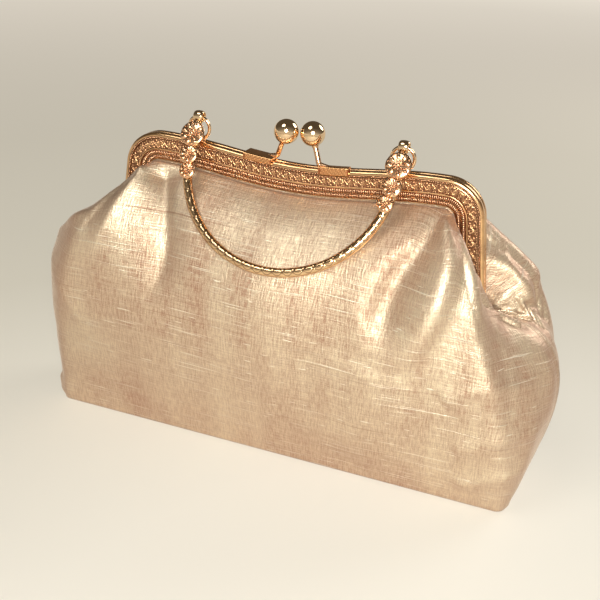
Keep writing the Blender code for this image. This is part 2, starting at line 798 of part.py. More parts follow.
def sheet_mesh(name, grid, thickness, inset, back):
    # A closed sheet about the grid moved in by the inset; the back panel is turned to +Y.
    normals = grid_normals(grid)
    shape = bmesh.new()
    faces = []
    for offset in (thickness / 2 - inset, -thickness / 2 - inset):
        layer = []
        for line, directions in zip(grid, normals):
            points = [p + n * offset for p, n in zip(line, directions)]
            if back:
                points = [Vector((p.x, -p.y, p.z)) for p in points]
            layer.append([shape.verts.new(p) for p in points])
        faces.append(layer)
    outer, inner = faces
    columns, rows = len(grid), len(grid[0])
    for i in range(columns - 1):
        for j in range(rows - 1):
            # Both faces are cut along the same diagonal, so that nested sheets stay apart.
            for layer in (outer, inner):
                square = [layer[i][j], layer[i + 1][j], layer[i + 1][j + 1], layer[i][j + 1]]
                if i < columns // 2:
                    square = square[1:] + square[:1]
                shape.faces.new(square[:3])
                shape.faces.new((square[0], square[2], square[3]))
    rim = [(i, 0) for i in range(columns)] + [(columns - 1, j) for j in range(1, rows)]
    rim += [(i, rows - 1) for i in range(columns - 2, -1, -1)] + [(0, j) for j in range(rows - 2, 0, -1)]
    for (a, b), (c, d) in zip(rim, rim[1:] + rim[:1]):
        shape.faces.new((outer[a][b], inner[a][b], inner[c][d], outer[c][d]))
    return finish_mesh(name, shape)


def make_panel(name, side_name, lining, material):
    back = side_name == "back"
    if lining:
        mesh = sheet_mesh(name, panel_grid(side_name, lining_floor()), LINING_THICKNESS, LINING_OFFSET, back)
    else:
        mesh = sheet_mesh(name, panel_grid(side_name, 0), SILK_THICKNESS, 0, back)
    return add_object(name, mesh, material, None)


def board_bottom():
    return SILK_THICKNESS + GAP


def lining_floor():
    return board_bottom() + BOARD_THICKNESS + GAP


def make_floor(name, bottom, thickness, inset, material):
    # A flat plate that fits inside the base's edge, its corners cut like the panels' columns.
    corner_steps = BASE_COLUMNS[1]
    outline = []
    for x_hand, y_hand in ((1, -1), (1, 1), (-1, 1), (-1, -1)):
        middle = Vector((
            x_hand * (BASE_HALF_LENGTH - BASE_CORNER_RADIUS),
            y_hand * (BASE_HALF_DEPTH - BASE_CORNER_RADIUS),
            0,
        ))
        start = math.atan2(y_hand, x_hand) - QUARTER / 2
        for i in range(corner_steps + 1):
            angle = start + QUARTER * i / corner_steps
            spoke = Vector((math.cos(angle), math.sin(angle), 0))
            outline.append(middle + spoke * (BASE_CORNER_RADIUS - inset))
    loops = [[p + Vector((0, 0, z)) for p in outline] for z in (bottom, bottom + thickness)]
    return add_object(name, skinned(name, loops), material, None)


def build():
    clear_scene()
    silk = make_material("silk", (0.62, 0.45, 0.35), 0.45, 0)
    lining = make_material("lining", (0.55, 0.42, 0.34), 0.6, 0)
    board = make_material("board", (0.35, 0.3, 0.26), 0.9, 0)
    cord = make_material("paper_cord", (0.6, 0.5, 0.38), 0.9, 0)
    gold = make_material("rose_gold", (0.72, 0.42, 0.29), 0.22, 1)

    hinge = Vector((0, 0, HINGE_HEIGHT))
    front_hinge = add_empty("front_hinge", hinge)
    back_hinge = add_empty("back_hinge", hinge)
    handle_hinge = add_empty("handle_hinge", swing_axis(), front_hinge)

    make_panel("outer_front_panel", "front", False, silk)
    make_panel("outer_back_panel", "back", False, silk)
    make_panel("lining_front_panel", "front", True, lining)
    make_panel("lining_back_panel", "back", True, lining)
    edge = SILK_THICKNESS / 2 + GAP
    make_floor("outer_base_panel", 0, SILK_THICKNESS, edge, silk)
    make_floor("base_board", board_bottom(), BOARD_THICKNESS, edge + GAP, board)
    lining_edge = LINING_OFFSET + LINING_THICKNESS / 2 + GAP
    make_floor("lining_base_panel", lining_floor(), LINING_THICKNESS, lining_edge, lining)

    for front, hinge_empty, side_name in ((True, front_hinge, "front"), (False, back_hinge, "back")):
        make_frame(f"{side_name}_frame", front, gold, hinge_empty)
        make_channel_cord(f"{side_name}_channel_cord", front, cord, hinge_empty)
        make_clasp_plate(f"{side_name}_clasp_plate", front, gold, hinge_empty)
        make_ball(f"{side_name}_clasp_ball", front, gold, hinge_empty)

    for side_name, hand in (("left", -1), ("right", 1)):
        make_rivet(f"{side_name}_rivet", hand > 0, gold, front_hinge)
        make_lug(f"{side_name}_ring_lug", hand, gold, front_hinge)
        make_ring(f"{side_name}_ring", hand, gold, front_hinge)
        make_eye(f"{side_name}_handle_eye", hand, gold, handle_hinge)
        for flower, s, radius in flower_places():
            make_flower(f"{side_name}_{flower}_flower", hand, s, radius, gold, handle_hinge)
    make_bar("handle_bar", gold, handle_hinge)


build()
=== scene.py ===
import math

import bmesh
import bpy
import numpy as np
from mathutils import Matrix, Vector, noise


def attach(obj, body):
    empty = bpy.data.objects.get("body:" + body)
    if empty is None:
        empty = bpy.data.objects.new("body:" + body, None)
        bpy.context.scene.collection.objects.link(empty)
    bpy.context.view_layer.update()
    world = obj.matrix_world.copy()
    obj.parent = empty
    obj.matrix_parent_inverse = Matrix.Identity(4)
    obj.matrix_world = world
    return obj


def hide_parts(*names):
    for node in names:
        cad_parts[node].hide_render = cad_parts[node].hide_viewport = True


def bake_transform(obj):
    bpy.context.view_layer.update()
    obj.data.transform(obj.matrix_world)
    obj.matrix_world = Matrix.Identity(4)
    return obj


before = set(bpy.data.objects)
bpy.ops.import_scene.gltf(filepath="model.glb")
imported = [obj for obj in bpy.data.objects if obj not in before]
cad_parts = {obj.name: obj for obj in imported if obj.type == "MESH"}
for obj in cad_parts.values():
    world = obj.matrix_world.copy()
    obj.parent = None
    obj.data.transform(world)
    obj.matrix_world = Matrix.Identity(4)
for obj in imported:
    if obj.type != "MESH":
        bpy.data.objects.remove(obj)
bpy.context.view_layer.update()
scene = bpy.context.scene
mm = 0.001
quarter = math.pi / 2


# Tools for node trees

def addNode(tree, kind, inputs=None, **settings):
    # A node with its settings; an input takes a value or another node's socket.
    made = tree.nodes.new(kind)
    for key, value in settings.items():
        setattr(made, key, value)
    for key, value in (inputs or {}).items():
        if isinstance(value, bpy.types.NodeSocket):
            tree.links.new(value, made.inputs[key])
        else:
            made.inputs[key].default_value = value
    return made


def combine(tree, operation, first, *others):
    for other in others:
        first = addNode(tree, "ShaderNodeMath", {0: first, 1: other}, operation=operation).outputs[0]
    return first


def plus(tree, *values):
    return combine(tree, "ADD", *values)


def times(tree, *values):
    return combine(tree, "MULTIPLY", *values)


def mapRange(tree, value, low, high, toLow=0.0, toHigh=1.0):
    return addNode(tree, "ShaderNodeMapRange", {0: value, 1: low, 2: high, 3: toLow, 4: toHigh}).outputs[0]


def mixColor(tree, factor, first, second):
    return addNode(tree, "ShaderNodeMix", {0: factor, 6: first, 7: second}, data_type="RGBA").outputs[2]


def mixShader(tree, share, first, second):
    return addNode(tree, "ShaderNodeMixShader", {0: share, 1: first, 2: second}).outputs[0]


def noiseAt(tree, place, scale, detail):
    return addNode(tree, "ShaderNodeTexNoise", {"Vector": place, "Scale": scale, "Detail": detail}).outputs[0]


def mapped(tree, place, **values):
    return addNode(tree, "ShaderNodeMapping", {"Vector": place, **values}).outputs[0]


def objectPlace(tree):
    return addNode(tree, "ShaderNodeTexCoord").outputs["Object"]


def rayKinds(tree):
    # Camera rays, and the rays by which metal and glass show the room.
    rays = addNode(tree, "ShaderNodeLightPath").outputs
    return rays["Is Camera Ray"], plus(tree, rays["Is Glossy Ray"], rays["Is Transmission Ray"])


def addSockets(tree, way, kind, names):
    # Inputs or outputs of a node group; a dictionary gives their first values too.
    for name in names:
        socket = tree.interface.new_socket(name, in_out=way, socket_type="NodeSocket" + kind)
        if isinstance(names, dict):
            socket.default_value = names[name]


def newMaterial(name):
    material = bpy.data.materials.new(name)
    material.use_nodes = True
    return material, material.node_tree, material.node_tree.nodes["Principled BSDF"]


def feed(tree, shader, bump, **sources):
    # Links a shader's inputs, and a bump of the given strength, depth and height.
    strength, distance, height = bump
    made = addNode(tree, "ShaderNodeBump", {"Strength": strength, "Distance": distance, "Height": height})
    tree.links.new(made.outputs[0], shader.inputs["Normal"])
    for name, source in sources.items():
        tree.links.new(source, shader.inputs["Base Color" if name == "Color" else name])


# Tools for meshes

def gridFaces(rows, columns, wrapRows=False, wrapColumns=False):
    i = np.arange(rows if wrapRows else rows - 1)[:, None]
    j = np.arange(columns if wrapColumns else columns - 1)[None, :]
    nextI, nextJ = (i + 1) % rows, (j + 1) % columns
    corners = [i * columns + j, i * columns + nextJ, nextI * columns + nextJ, nextI * columns + j]
    return np.stack([np.broadcast_to(c, (i.size, j.size)) for c in corners], -1).reshape(-1, 4).tolist()


def closedMesh(name, points, faces):
    # A mesh whose faces are turned outwards and shaded smooth.
    shape = bmesh.new()
    verts = [shape.verts.new(p) for p in points]
    for face in faces:
        shape.faces.new([verts[k] for k in face])
    bmesh.ops.recalc_face_normals(shape, faces=shape.faces)
    mesh = bpy.data.meshes.new(name)
    shape.to_mesh(mesh)
    shape.free()
    mesh.shade_smooth()
    return mesh


def addPiece(name, mesh, material, smoothAngle=None):
    mesh.materials.clear()
    mesh.materials.append(material)
    if smoothAngle:
        mesh.set_sharp_from_angle(angle=math.radians(smoothAngle))
    piece = bpy.data.objects.new(name, mesh)
    scene.collection.objects.link(piece)
    return piece


def dress(piece, body, node):
    # The piece moves with the body and stands for the node.
    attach(piece, body)
    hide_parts(node)


def sweptMesh(name, loops, closed=False):
    # Skin over closed loops of points, with its ends capped unless the loops close to a ring.
    grid = np.array(loops)
    rows, columns = grid.shape[:2]
    faces = gridFaces(rows, columns, closed, True)
    if not closed:
        faces += [list(range(columns)), list(range((rows - 1) * columns, rows * columns))]
    return closedMesh(name, grid.reshape(-1, 3).tolist(), faces)


def spunMesh(name, centre, axis, section, steps):
    # A ring: a section, pairs of places along the axis and away from it, turned about +X or +Y.
    loops = []
    for angle in np.linspace(0, math.tau, steps, endpoint=False):
        a, b = math.cos(angle), math.sin(angle)
        spoke = np.array((0, a, b) if axis[0] else (a, 0, b))
        loops.append([centre + np.array(axis) * along + spoke * away for along, away in section])
    return sweptMesh(name, loops, True)


def addRelief(mesh, relief):
    # 1 on what is raised and polished, towards 0 in the hollows, which the gold finish paints darker as shade
    # and makes rougher.
    mesh.attributes.new("relief", "FLOAT", "POINT").data.foreach_set("value", relief)


def addClothMap(mesh, places):
    # The cloth's own map in metres, with a place for each vertex.
    layer = mesh.uv_layers.new(name="cloth")
    corners = np.zeros(len(mesh.loops), np.int32)
    mesh.loops.foreach_get("vertex_index", corners)
    layer.data.foreach_set("uv", places[corners].ravel())


def headings(path):
    ahead = np.gradient(path, axis=0)
    return ahead / np.linalg.norm(ahead, axis=1)[:, None]


def tubeLoops(path, radii, sides):
    # Loops of points round a path, with a radius for each of its points.
    ahead = headings(path)
    side = np.cross(ahead[0], (0.0, 1.0, 0.0))
    angles = np.arange(sides) * math.tau / sides
    loops = []
    for k in range(len(path)):
        side = side - ahead[k] * side.dot(ahead[k])
        side /= np.linalg.norm(side)
        ring = np.outer(np.cos(angles), side) + np.outer(np.sin(angles), np.cross(ahead[k], side))
        loops.append(path[k] + ring * radii[k])
    return loops


def smoothLine(points, steps):
    # Catmull-Rom line through points.
    points = np.asarray(points, float)
    padded = np.vstack([2 * points[0] - points[1], points, 2 * points[-1] - points[-2]])
    line = []
    for k in range(len(points) - 1):
        a, b, c, d = padded[k:k + 4]
        for t in np.arange(steps) / steps:
            line.append(0.5 * (2 * b + (c - a) * t + (2 * a - 5 * b + 4 * c - d) * t * t
                               + (3 * b - a - 3 * c + d) * t ** 3))
    line.append(points[-1])
    return np.array(line)


def smoothStep(value):
    value = np.clip(value, 0, 1)
    return value * value * (3 - 2 * value)


# Camera, light and floor

cameraValues = {
    "place": (0.1484, -0.4088, 0.2836), "target": (0.00545, 0, 0.08167),
    "roll": math.radians(3.42), "lens": 53.4, "sensor": 36, "clip": (0.01, 30),
}
lampTarget = (0, 0, 0.08)
lampValues = {                     # place, size, watts, colour
    "keyLamp": ((0.28, -0.80, 0.50), 0.4, 8.3, (1.0, 0.95, 0.87)),
    "fillLamp": ((-0.36, -0.50, 1.30), 0.6, 3.6, (1.0, 0.97, 0.92)),
    "backLamp": ((0.75, 0.95, 0.8), 0.7, 7.0, (1.0, 0.97, 0.93)),
}
studioValues = {
    "strength": 0.6,
    "towards": (0.30, -0.92, 0.20),          # the bright side of the room
    "room": ((0.25, (0.16, 0.135, 0.10, 1)), (0.6, (0.38, 0.35, 0.30, 1)), (0.95, (1.05, 0.98, 0.86, 1))),
    "ceiling": 0.55,                         # how much darker the room is overhead
    "horizon": (0.02, 0.1),                  # metal and glass show the backdrop up to here
    "backdrop": (0.80, 0.735, 0.63, 1),
}
floorValues = {
    "size": 60.0, "middle": (0.15, -0.2, 0.0), "roughness": 0.75, "grain": 900.0,
    # Painted pool of light: the floor is lighter near the middle and darker further out, until it turns to
    # the far colour.
    "near": (0.91, 0.875, 0.78, 1), "between": (0.74, 0.70, 0.59, 1), "far": (0.92, 0.84, 0.72, 1),
    "firstChange": (0.2, 0.5), "lastChange": (0.6, 2.2),
    "fade": (0.9, 2.4), "glow": (0.9, 3.0, 0.45, 1.0),     # into the backdrop, so that no edge shows
}


def makeCamera():
    values = cameraValues
    place = Vector(values["place"])
    ahead = (Vector(values["target"]) - place).normalized()
    right = ahead.cross(Vector((0, 0, 1))).normalized()
    up = right.cross(ahead)
    roll = values["roll"]
    x = right * math.cos(roll) + up * math.sin(roll)
    y = up * math.cos(roll) - right * math.sin(roll)
    data = bpy.data.cameras.new("photoCamera")
    data.lens, data.sensor_width = values["lens"], values["sensor"]
    data.clip_start, data.clip_end = values["clip"]
    camera = bpy.data.objects.new("photoCamera", data)
    camera.matrix_world = Matrix.Translation(place) @ Matrix((x, y, -ahead)).transposed().to_4x4()
    scene.collection.objects.link(camera)
    scene.camera = camera


def makeLamps():
    for name, (place, size, watts, color) in lampValues.items():
        data = bpy.data.lights.new(name, "AREA")
        data.shape, data.size, data.energy, data.color = "DISK", size, watts, color
        lamp = bpy.data.objects.new(name, data)
        lamp.location = place
        lamp.rotation_euler = (Vector(lampTarget) - Vector(place)).to_track_quat("-Z", "Y").to_euler()
        scene.collection.objects.link(lamp)


def makeWorld():
    values = studioValues
    scene.world = bpy.data.worlds.new("studioWorld")
    scene.world.use_nodes = True
    tree = scene.world.node_tree
    tree.nodes.clear()
    place = addNode(tree, "ShaderNodeTexCoord").outputs["Generated"]
    height = addNode(tree, "ShaderNodeSeparateXYZ", {0: place}).outputs[2]
    facing = addNode(tree, "ShaderNodeVectorMath", {0: place, 1: values["towards"]}, operation="DOT_PRODUCT")
    lift = mapRange(tree, height, 0.1, 0.9, 0.0, values["ceiling"])
    bright = combine(tree, "SUBTRACT", mapRange(tree, facing.outputs["Value"], -1.0, 1.0), lift)
    ramp = addNode(tree, "ShaderNodeValToRGB", {0: bright})
    stops = ramp.color_ramp.elements
    stops.new(0.5)
    for stop, (position, color) in zip(stops, values["room"]):
        stop.position, stop.color = position, color
    lit = addNode(tree, "ShaderNodeBackground", {0: ramp.outputs[0], 1: values["strength"]})
    seen = addNode(tree, "ShaderNodeBackground", {0: values["backdrop"], 1: 1.0})
    direct, mirrored = rayKinds(tree)
    mirrored = times(tree, mirrored, mapRange(tree, height, *values["horizon"], 1.0, 0.0))
    share = combine(tree, "MAXIMUM", direct, mirrored)
    addNode(tree, "ShaderNodeOutputWorld", {0: mixShader(tree, share, lit.outputs[0], seen.outputs[0])})


def makeFloor():
    values = floorValues
    size = values["size"] / 2
    mesh = bpy.data.meshes.new("floor")
    corners = [(-size, -size, 0), (size, -size, 0), (size, size, 0), (-size, size, 0)]
    mesh.from_pydata(corners, [], [(0, 1, 2, 3)])
    material, tree, shader = newMaterial("palePaper")
    place = objectPlace(tree)
    away = addNode(tree, "ShaderNodeVectorMath", {0: place, 1: values["middle"]}, operation="DISTANCE")
    far = away.outputs["Value"]
    # Painted pool of light, lighter round the middle and darker further out; the glow for camera and mirror
    # rays shows the same colours.
    color = mixColor(tree, mapRange(tree, far, *values["firstChange"]), values["near"], values["between"])
    color = mixColor(tree, mapRange(tree, far, *values["lastChange"]), color, values["far"])
    shader.inputs["Roughness"].default_value = values["roughness"]
    feed(tree, shader, (0.05, 0.0002, noiseAt(tree, place, values["grain"], 3.0)), Color=color)
    faded = mixColor(tree, mapRange(tree, far, *values["fade"]), color, studioValues["backdrop"])
    glow = addNode(tree, "ShaderNodeEmission", {0: faded, 1: 1.0})
    seen = combine(tree, "MINIMUM", plus(tree, *rayKinds(tree)), 1.0)
    share = times(tree, seen, mapRange(tree, far, *values["glow"]))
    both = mixShader(tree, share, shader.outputs[0], glow.outputs[0])
    tree.links.new(both, tree.nodes["Material Output"].inputs[0])
    addPiece("floor", mesh, material)


makeCamera()
makeLamps()
makeWorld()
makeFloor()
scene.view_settings.view_transform = "Standard"
print("studio ready")


# Finishes

weaveStreaks = {                   # a metre across and along, detail, first and full value, noise place
    "warp": (1300, 170, 2, 0.38, 0.62, 0),               # upright grain
    "weft": (60, 1300, 2, 0.39, 0.61, 3),                # level grain
    "fine": (2300, 1500, 1, 0.34, 0.66, 5),
    "long": (17, 850, 2, 0.66, 0.74, 7),                 # slubs
    "thin": (34, 1300, 1, 0.66, 0.74, 11),
    "nubs": (95, 900, 1, 0.70, 0.76, 13),
    "upright": (700, 55, 2, 0.72, 0.80, 17),
    "dark": (10, 760, 2, 0.65, 0.73, 19),                # darker threads
    "darkUpright": (620, 40, 2, 0.70, 0.80, 23),
    "patch": (11, 16, 3, 0.35, 0.65, 29),
    "bands": (70, 12, 2, 0.35, 0.65, 31),                # upright bands of paler cloth
}
weaveShares = {
    "gold": {"warp": 0.32, "weft": 0.16, "patch": 0.30, "bands": 0.26, "fine": 0.24}, "goldLess": 0.12,
    "slub": {"long": 1, "thin": 0.8, "nubs": 1, "upright": 0.8},
    "dark": {"dark": 0.6, "darkUpright": 0.5},
    "height": {"warp": 0.45, "weft": 0.35, "fine": 0.25, "slub": 0.9, "dim": -0.4},
}


def makeWeaveGroup():
    # Crossed grain, long slubs and short nubs on a cloth map in metres.
    group = bpy.data.node_groups.new("clothWeave", "ShaderNodeTree")
    addSockets(group, "INPUT", "Vector", ["Cloth"])
    addSockets(group, "INPUT", "Float", {"Grain": 1.0, "Slubs": 1.0})
    addSockets(group, "OUTPUT", "Float", ["Height", "Gold", "Slub", "Dark"])
    given, end = addNode(group, "NodeGroupInput").outputs, addNode(group, "NodeGroupOutput")
    masks = {}
    for name, (across, along, detail, low, high, place) in weaveStreaks.items():
        streak = mapped(group, given["Cloth"], Location=(place, place, place), Scale=(across, along, 1))
        masks[name] = mapRange(group, noiseAt(group, streak, 1.0, detail), low, high)

    def gather(operation, shares):
        parts = [times(group, masks[name], share) for name, share in shares.items()]
        return combine(group, operation, *parts)

    shares = weaveShares
    gold = combine(group, "SUBTRACT", gather("ADD", shares["gold"]), shares["goldLess"])
    masks["slub"] = times(group, gather("MAXIMUM", shares["slub"]), given["Slubs"])
    masks["dim"] = times(group, gather("MAXIMUM", shares["dark"]), given["Slubs"])
    height = times(group, gather("ADD", shares["height"]), given["Grain"])
    for name, value in (("Height", height), ("Gold", gold), ("Slub", masks["slub"]), ("Dark", masks["dim"])):
        group.links.new(value, end.inputs[name])
    return group


def makeWearGroup():
    # Handling marks: a soft smudge mask and fine scratches, on the piece's own coordinates.
    group = bpy.data.node_groups.new("handlingWear", "ShaderNodeTree")
    addSockets(group, "INPUT", "Float", {"Smudges": 160.0, "Scratches": 900.0})
    addSockets(group, "OUTPUT", "Float", ["Smudge", "Scratch"])
    given, end = addNode(group, "NodeGroupInput").outputs, addNode(group, "NodeGroupOutput")
    place = objectPlace(group)
    soft = noiseAt(group, place, given["Smudges"], 4.0)
    turned = mapped(group, place, Rotation=(0.4, 0.7, 0.2), Scale=(1.0, 0.06, 1.0))
    fine = noiseAt(group, turned, given["Scratches"], 2.0)
    group.links.new(mapRange(group, soft, 0.35, 0.7), end.inputs["Smudge"])
    group.links.new(mapRange(group, fine, 0.55, 0.75), end.inputs["Scratch"])
    return group


weaveGroup, wearGroup = makeWeaveGroup(), makeWearGroup()

silkValues = {
    "shadow": (0.33, 0.17, 0.105, 1), "body": (1.0, 0.875, 0.645, 1), "light": (1.0, 0.94, 0.77, 1),
    "turned": (0.42, 0.24, 0.165, 1),        # shot silk darkens as it turns away
    "roughness": (0.47, 0.33), "metallic": (0.3, 0.88), "sheen": 0.25, "slubs": 1.0, "bump": 0.0002,
}
liningValues = {
    "shadow": (0.40, 0.27, 0.20, 1), "body": (0.52, 0.38, 0.29, 1), "light": (0.62, 0.48, 0.38, 1),
    "turned": (0.42, 0.29, 0.22, 1),
    "roughness": (0.6, 0.45), "metallic": (0.0, 0.2), "sheen": 0.2, "slubs": 0.15, "bump": 0.0001,
}
turning = (0.08, 0.55, 0.0, 0.62)            # where the darker colour starts and is full, and its shares


def makeCloth(name, values):
    material, tree, shader = newMaterial(name)
    cloth = addNode(tree, "ShaderNodeUVMap", uv_map="cloth").outputs[0]
    weave = addNode(tree, "ShaderNodeGroup", node_tree=weaveGroup)
    tree.links.new(cloth, weave.inputs["Cloth"])
    weave.inputs["Slubs"].default_value = values["slubs"]
    gold = weave.outputs["Gold"]
    base = mixColor(tree, gold, values["shadow"], values["body"])
    base = mixColor(tree, weave.outputs["Dark"], base, values["shadow"])
    base = mixColor(tree, weave.outputs["Slub"], base, values["light"])
    facing = addNode(tree, "ShaderNodeLayerWeight", {"Blend": 0.5}).outputs["Facing"]
    base = mixColor(tree, mapRange(tree, facing, *turning), base, values["turned"])
    shader.inputs["Sheen Weight"].default_value = values["sheen"]
    shader.inputs["Sheen Roughness"].default_value = 0.35
    shader.inputs["Sheen Tint"].default_value = (1.0, 0.9, 0.78, 1)
    feed(tree, shader, (0.8, values["bump"], weave.outputs["Height"]), Color=base,
         Roughness=mapRange(tree, gold, 0.0, 1.0, *values["roughness"]),
         Metallic=mapRange(tree, gold, 0.0, 1.0, *values["metallic"]))
    return material


goldValues = {                     # body colour, colour of smudges and of the painted shade in hollows, roughness when clean and worn, relief
    "roseGold": ((0.90, 0.58, 0.35, 1), (0.58, 0.27, 0.16, 1), (0.13, 0.26), False),
    "embossedGold": ((0.90, 0.56, 0.29, 1), (0.15, 0.05, 0.03, 1), (0.16, 0.34), True),
    "plateGold": ((0.96, 0.55, 0.25, 1), (0.36, 0.12, 0.05, 1), (0.2, 0.4), True),
    "barGold": ((0.92, 0.64, 0.36, 1), (0.22, 0.08, 0.04, 1), (0.08, 0.18), True),
    "ballGold": ((0.88, 0.66, 0.42, 1), (0.72, 0.46, 0.27, 1), (0.06, 0.14), False),
}


def makeGold(name):
    body, deep, roughness, embossed = goldValues[name]
    material, tree, shader = newMaterial(name)
    smudge, scratch = addNode(tree, "ShaderNodeGroup", node_tree=wearGroup).outputs
    color = mixColor(tree, times(tree, smudge, 0.35), body, deep)
    worn = plus(tree, times(tree, smudge, 0.7), times(tree, scratch, 0.4))
    rough = mapRange(tree, worn, 0.0, 1.0, *roughness)
    height = scratch
    if embossed:
        relief = addNode(tree, "ShaderNodeAttribute", attribute_name="relief").outputs["Fac"]
        stipple = addNode(tree, "ShaderNodeTexVoronoi", {"Vector": objectPlace(tree), "Scale": 2600.0})
        # Painted shade: the hollows of the relief are coloured towards the deep colour; they are also made
        # rougher and stippled.
        shadedHollow = mapRange(tree, relief, 0.12, 0.75, 1.0, 0.0)
        color = mixColor(tree, shadedHollow, color, deep)
        rough = plus(tree, rough, times(tree, shadedHollow, 0.25))
        height = plus(tree, times(tree, stipple.outputs[0], shadedHollow), times(tree, scratch, 0.2))
    shader.inputs["Metallic"].default_value = 1.0
    feed(tree, shader, (0.3, 0.00005, height), Color=color, Roughness=rough)
    return material


def makePlain(name, dark, pale, roughness, scale, stretch):
    # Fibrous paper and board.
    material, tree, shader = newMaterial(name)
    fibre = noiseAt(tree, mapped(tree, objectPlace(tree), Scale=stretch), scale, 6.0)
    rough = mapRange(tree, fibre, 0.3, 0.7, roughness - 0.08, roughness + 0.05)
    feed(tree, shader, (0.4, 0.0002, fibre), Color=mixColor(tree, fibre, dark, pale), Roughness=rough)
    return material


silk, lining = makeCloth("silkDupion", silkValues), makeCloth("liningSatin", liningValues)
gold = {name: makeGold(name) for name in goldValues}
board = makePlain("greyBoard", (0.27, 0.23, 0.2, 1), (0.42, 0.37, 0.32, 1), 0.85, 600.0, (1.0, 1.0, 3.0))
paper = makePlain("paperCord", (0.5, 0.4, 0.29, 1), (0.72, 0.62, 0.48, 1), 0.85, 900.0, (1.0, 1.0, 1.0))
print("finishes ready")


# Frame: two folded channels with beads, scrolls, a bright line and milled ribs

frameSizes = {
    "width": 205 * mm, "top": 162 * mm, "dip": 5.9 * mm, "corner": 20 * mm, "splay": math.radians(7.5),
    "hinge": 100 * mm, "band": 14 * mm, "depth": 4.2 * mm, "wall": 0.8 * mm, "rounding": 1.8 * mm,
    "crown": 1.2 * mm, "gap": 0.3 * mm, "rivet": 1.2 * mm,
    "ear": 4 * mm, "earWall": 0.7 * mm, "earInset": 0.05 * mm, "earOverlap": 2.5 * mm,
}
gap, corner, armTurn = frameSizes["gap"], frameSizes["corner"], quarter - frameSizes["splay"]
channelDepth, channelWall = frameSizes["depth"], frameSizes["wall"]
channelBand, crownWall = frameSizes["band"], frameSizes["crown"]
channelMiddle = (channelDepth + gap / 2) / 2
cornerHeight = frameSizes["top"] - corner * (1 - math.cos(armTurn))


def armX(height):
    return frameSizes["width"] / 2 - (height - frameSizes["hinge"]) * math.tan(frameSizes["splay"])


halfRail = armX(cornerHeight) - corner * math.sin(armTurn)
armEnd = frameSizes["hinge"] + frameSizes["ear"] + 3 * gap
armLength = (cornerHeight - armEnd) / math.cos(frameSizes["splay"])


def railHeight(x):
    along = min(abs(x) / halfRail, 1)
    return frameSizes["top"] - frameSizes["dip"] * (1 + math.cos(math.pi * along)) / 2


def halfLength(inward):
    return halfRail + (corner - inward) * armTurn + armLength


def spotAt(reach, inward=0.0):
    # A point of the channel's outer edge and the direction into the U. The reach from the middle, below 0
    # on the left, is measured on the line that lies inward from that edge.
    past = abs(reach) - halfRail
    if past < 0:
        slope = frameSizes["dip"] * math.pi / (2 * halfRail) * math.sin(math.pi * abs(reach) / halfRail)
        size = math.hypot(1, slope)
        point, into = np.array((abs(reach), 0, railHeight(reach))), np.array((slope / size, 0, -1 / size))
    else:
        bend = (corner - inward) * armTurn
        turn = min(past / bend, 1) * armTurn
        out = np.array((math.sin(turn), 0, math.cos(turn)))
        along = np.array((math.cos(turn), 0, -math.sin(turn)))
        middle = np.array((halfRail, 0, frameSizes["top"] - corner))
        point, into = middle + out * corner + along * max(past - bend, 0), -out
    if reach < 0:
        point, into = point * (-1, 1, 1), into * (-1, 1, 1)
    return point, into


def atFrame(station, inward, y):
    point, into = station
    return np.array((point[0], y, point[2])) + into * inward


def frameLoops(reaches, inward, section, side):
    # Points of a section, pairs of inward and depth, carried along the frame.
    return [[atFrame(spotAt(reach, inward), a, side * d) for a, d in section] for reach in reaches]


bandLayout = {                     # millimetres from the outer edge and the parting plane; 1 is polished, 0 is a recess that gets painted shade
    "beadGroove": ((1.88, 4.2, 1), (1.95, 3.8, 0), (2.82, 3.8, 0), (2.88, 4.2, 1), (3.0, 4.26, 1),
                   (3.1, 4.16, 1)),
    "bead": 2.4, "beadRadius": 0.36, "beadPitch": 0.85, "beadDepth": 4.05,
    "scroll": (3.2, 7.9), "scrollFloor": 3.72, "scrollRise": 0.5,
    "line": 8.4, "lineRadius": 0.45, "lineTop": 4.42, "lineRise": 0.4,
    "ribGrooves": ((9.0, 3.72, 0), (11.3, 3.72, 0), (11.34, 4.18, 1), (11.46, 4.18, 1), (11.5, 3.68, 0),
                   (13.62, 3.68, 0), (13.66, 4.14, 1)),
    "ribs": {"Upper": (9.1, 11.2, 0.95, 0.3, 3.88), "Lower": (11.6, 13.5, 0.85, 0.27, 3.82)},
    "rim": (0.15, 4.14, 3.95), "innerRounding": 1.08,
    "rowEnd": 0.4, "rowStep": 0.8,     # where beads and ribs stop, and the steps of the line they lie on
}
scrollShape = {                    # millimetres in one bay of the scroll
    "period": 6.6, "wave": 1.35, "stem": 0.2,
    "spiral": (1.0, 0.55), "spiralTurn": 6.4, "spiralShift": -0.3, "spiralStem": (0.22, 0.06), "dot": 0.26,
    "leaves": ((0.95, 1.2, 0.8, 0.26, 0.6), (0.4, -1.65, -0.35, 0.24, 0.5)), "leafRun": 0.6, "tip": 2.0,
    "seedPitch": 0.66, "seedRow": 0.8, "seed": 0.24, "seedHeight": 0.45,
    "end": 0.2, "ground": 0.04, "edge": 0.02, "under": 0.15,     # where it stops; heights off the floor
    "steps": 40, "rows": 25,
}


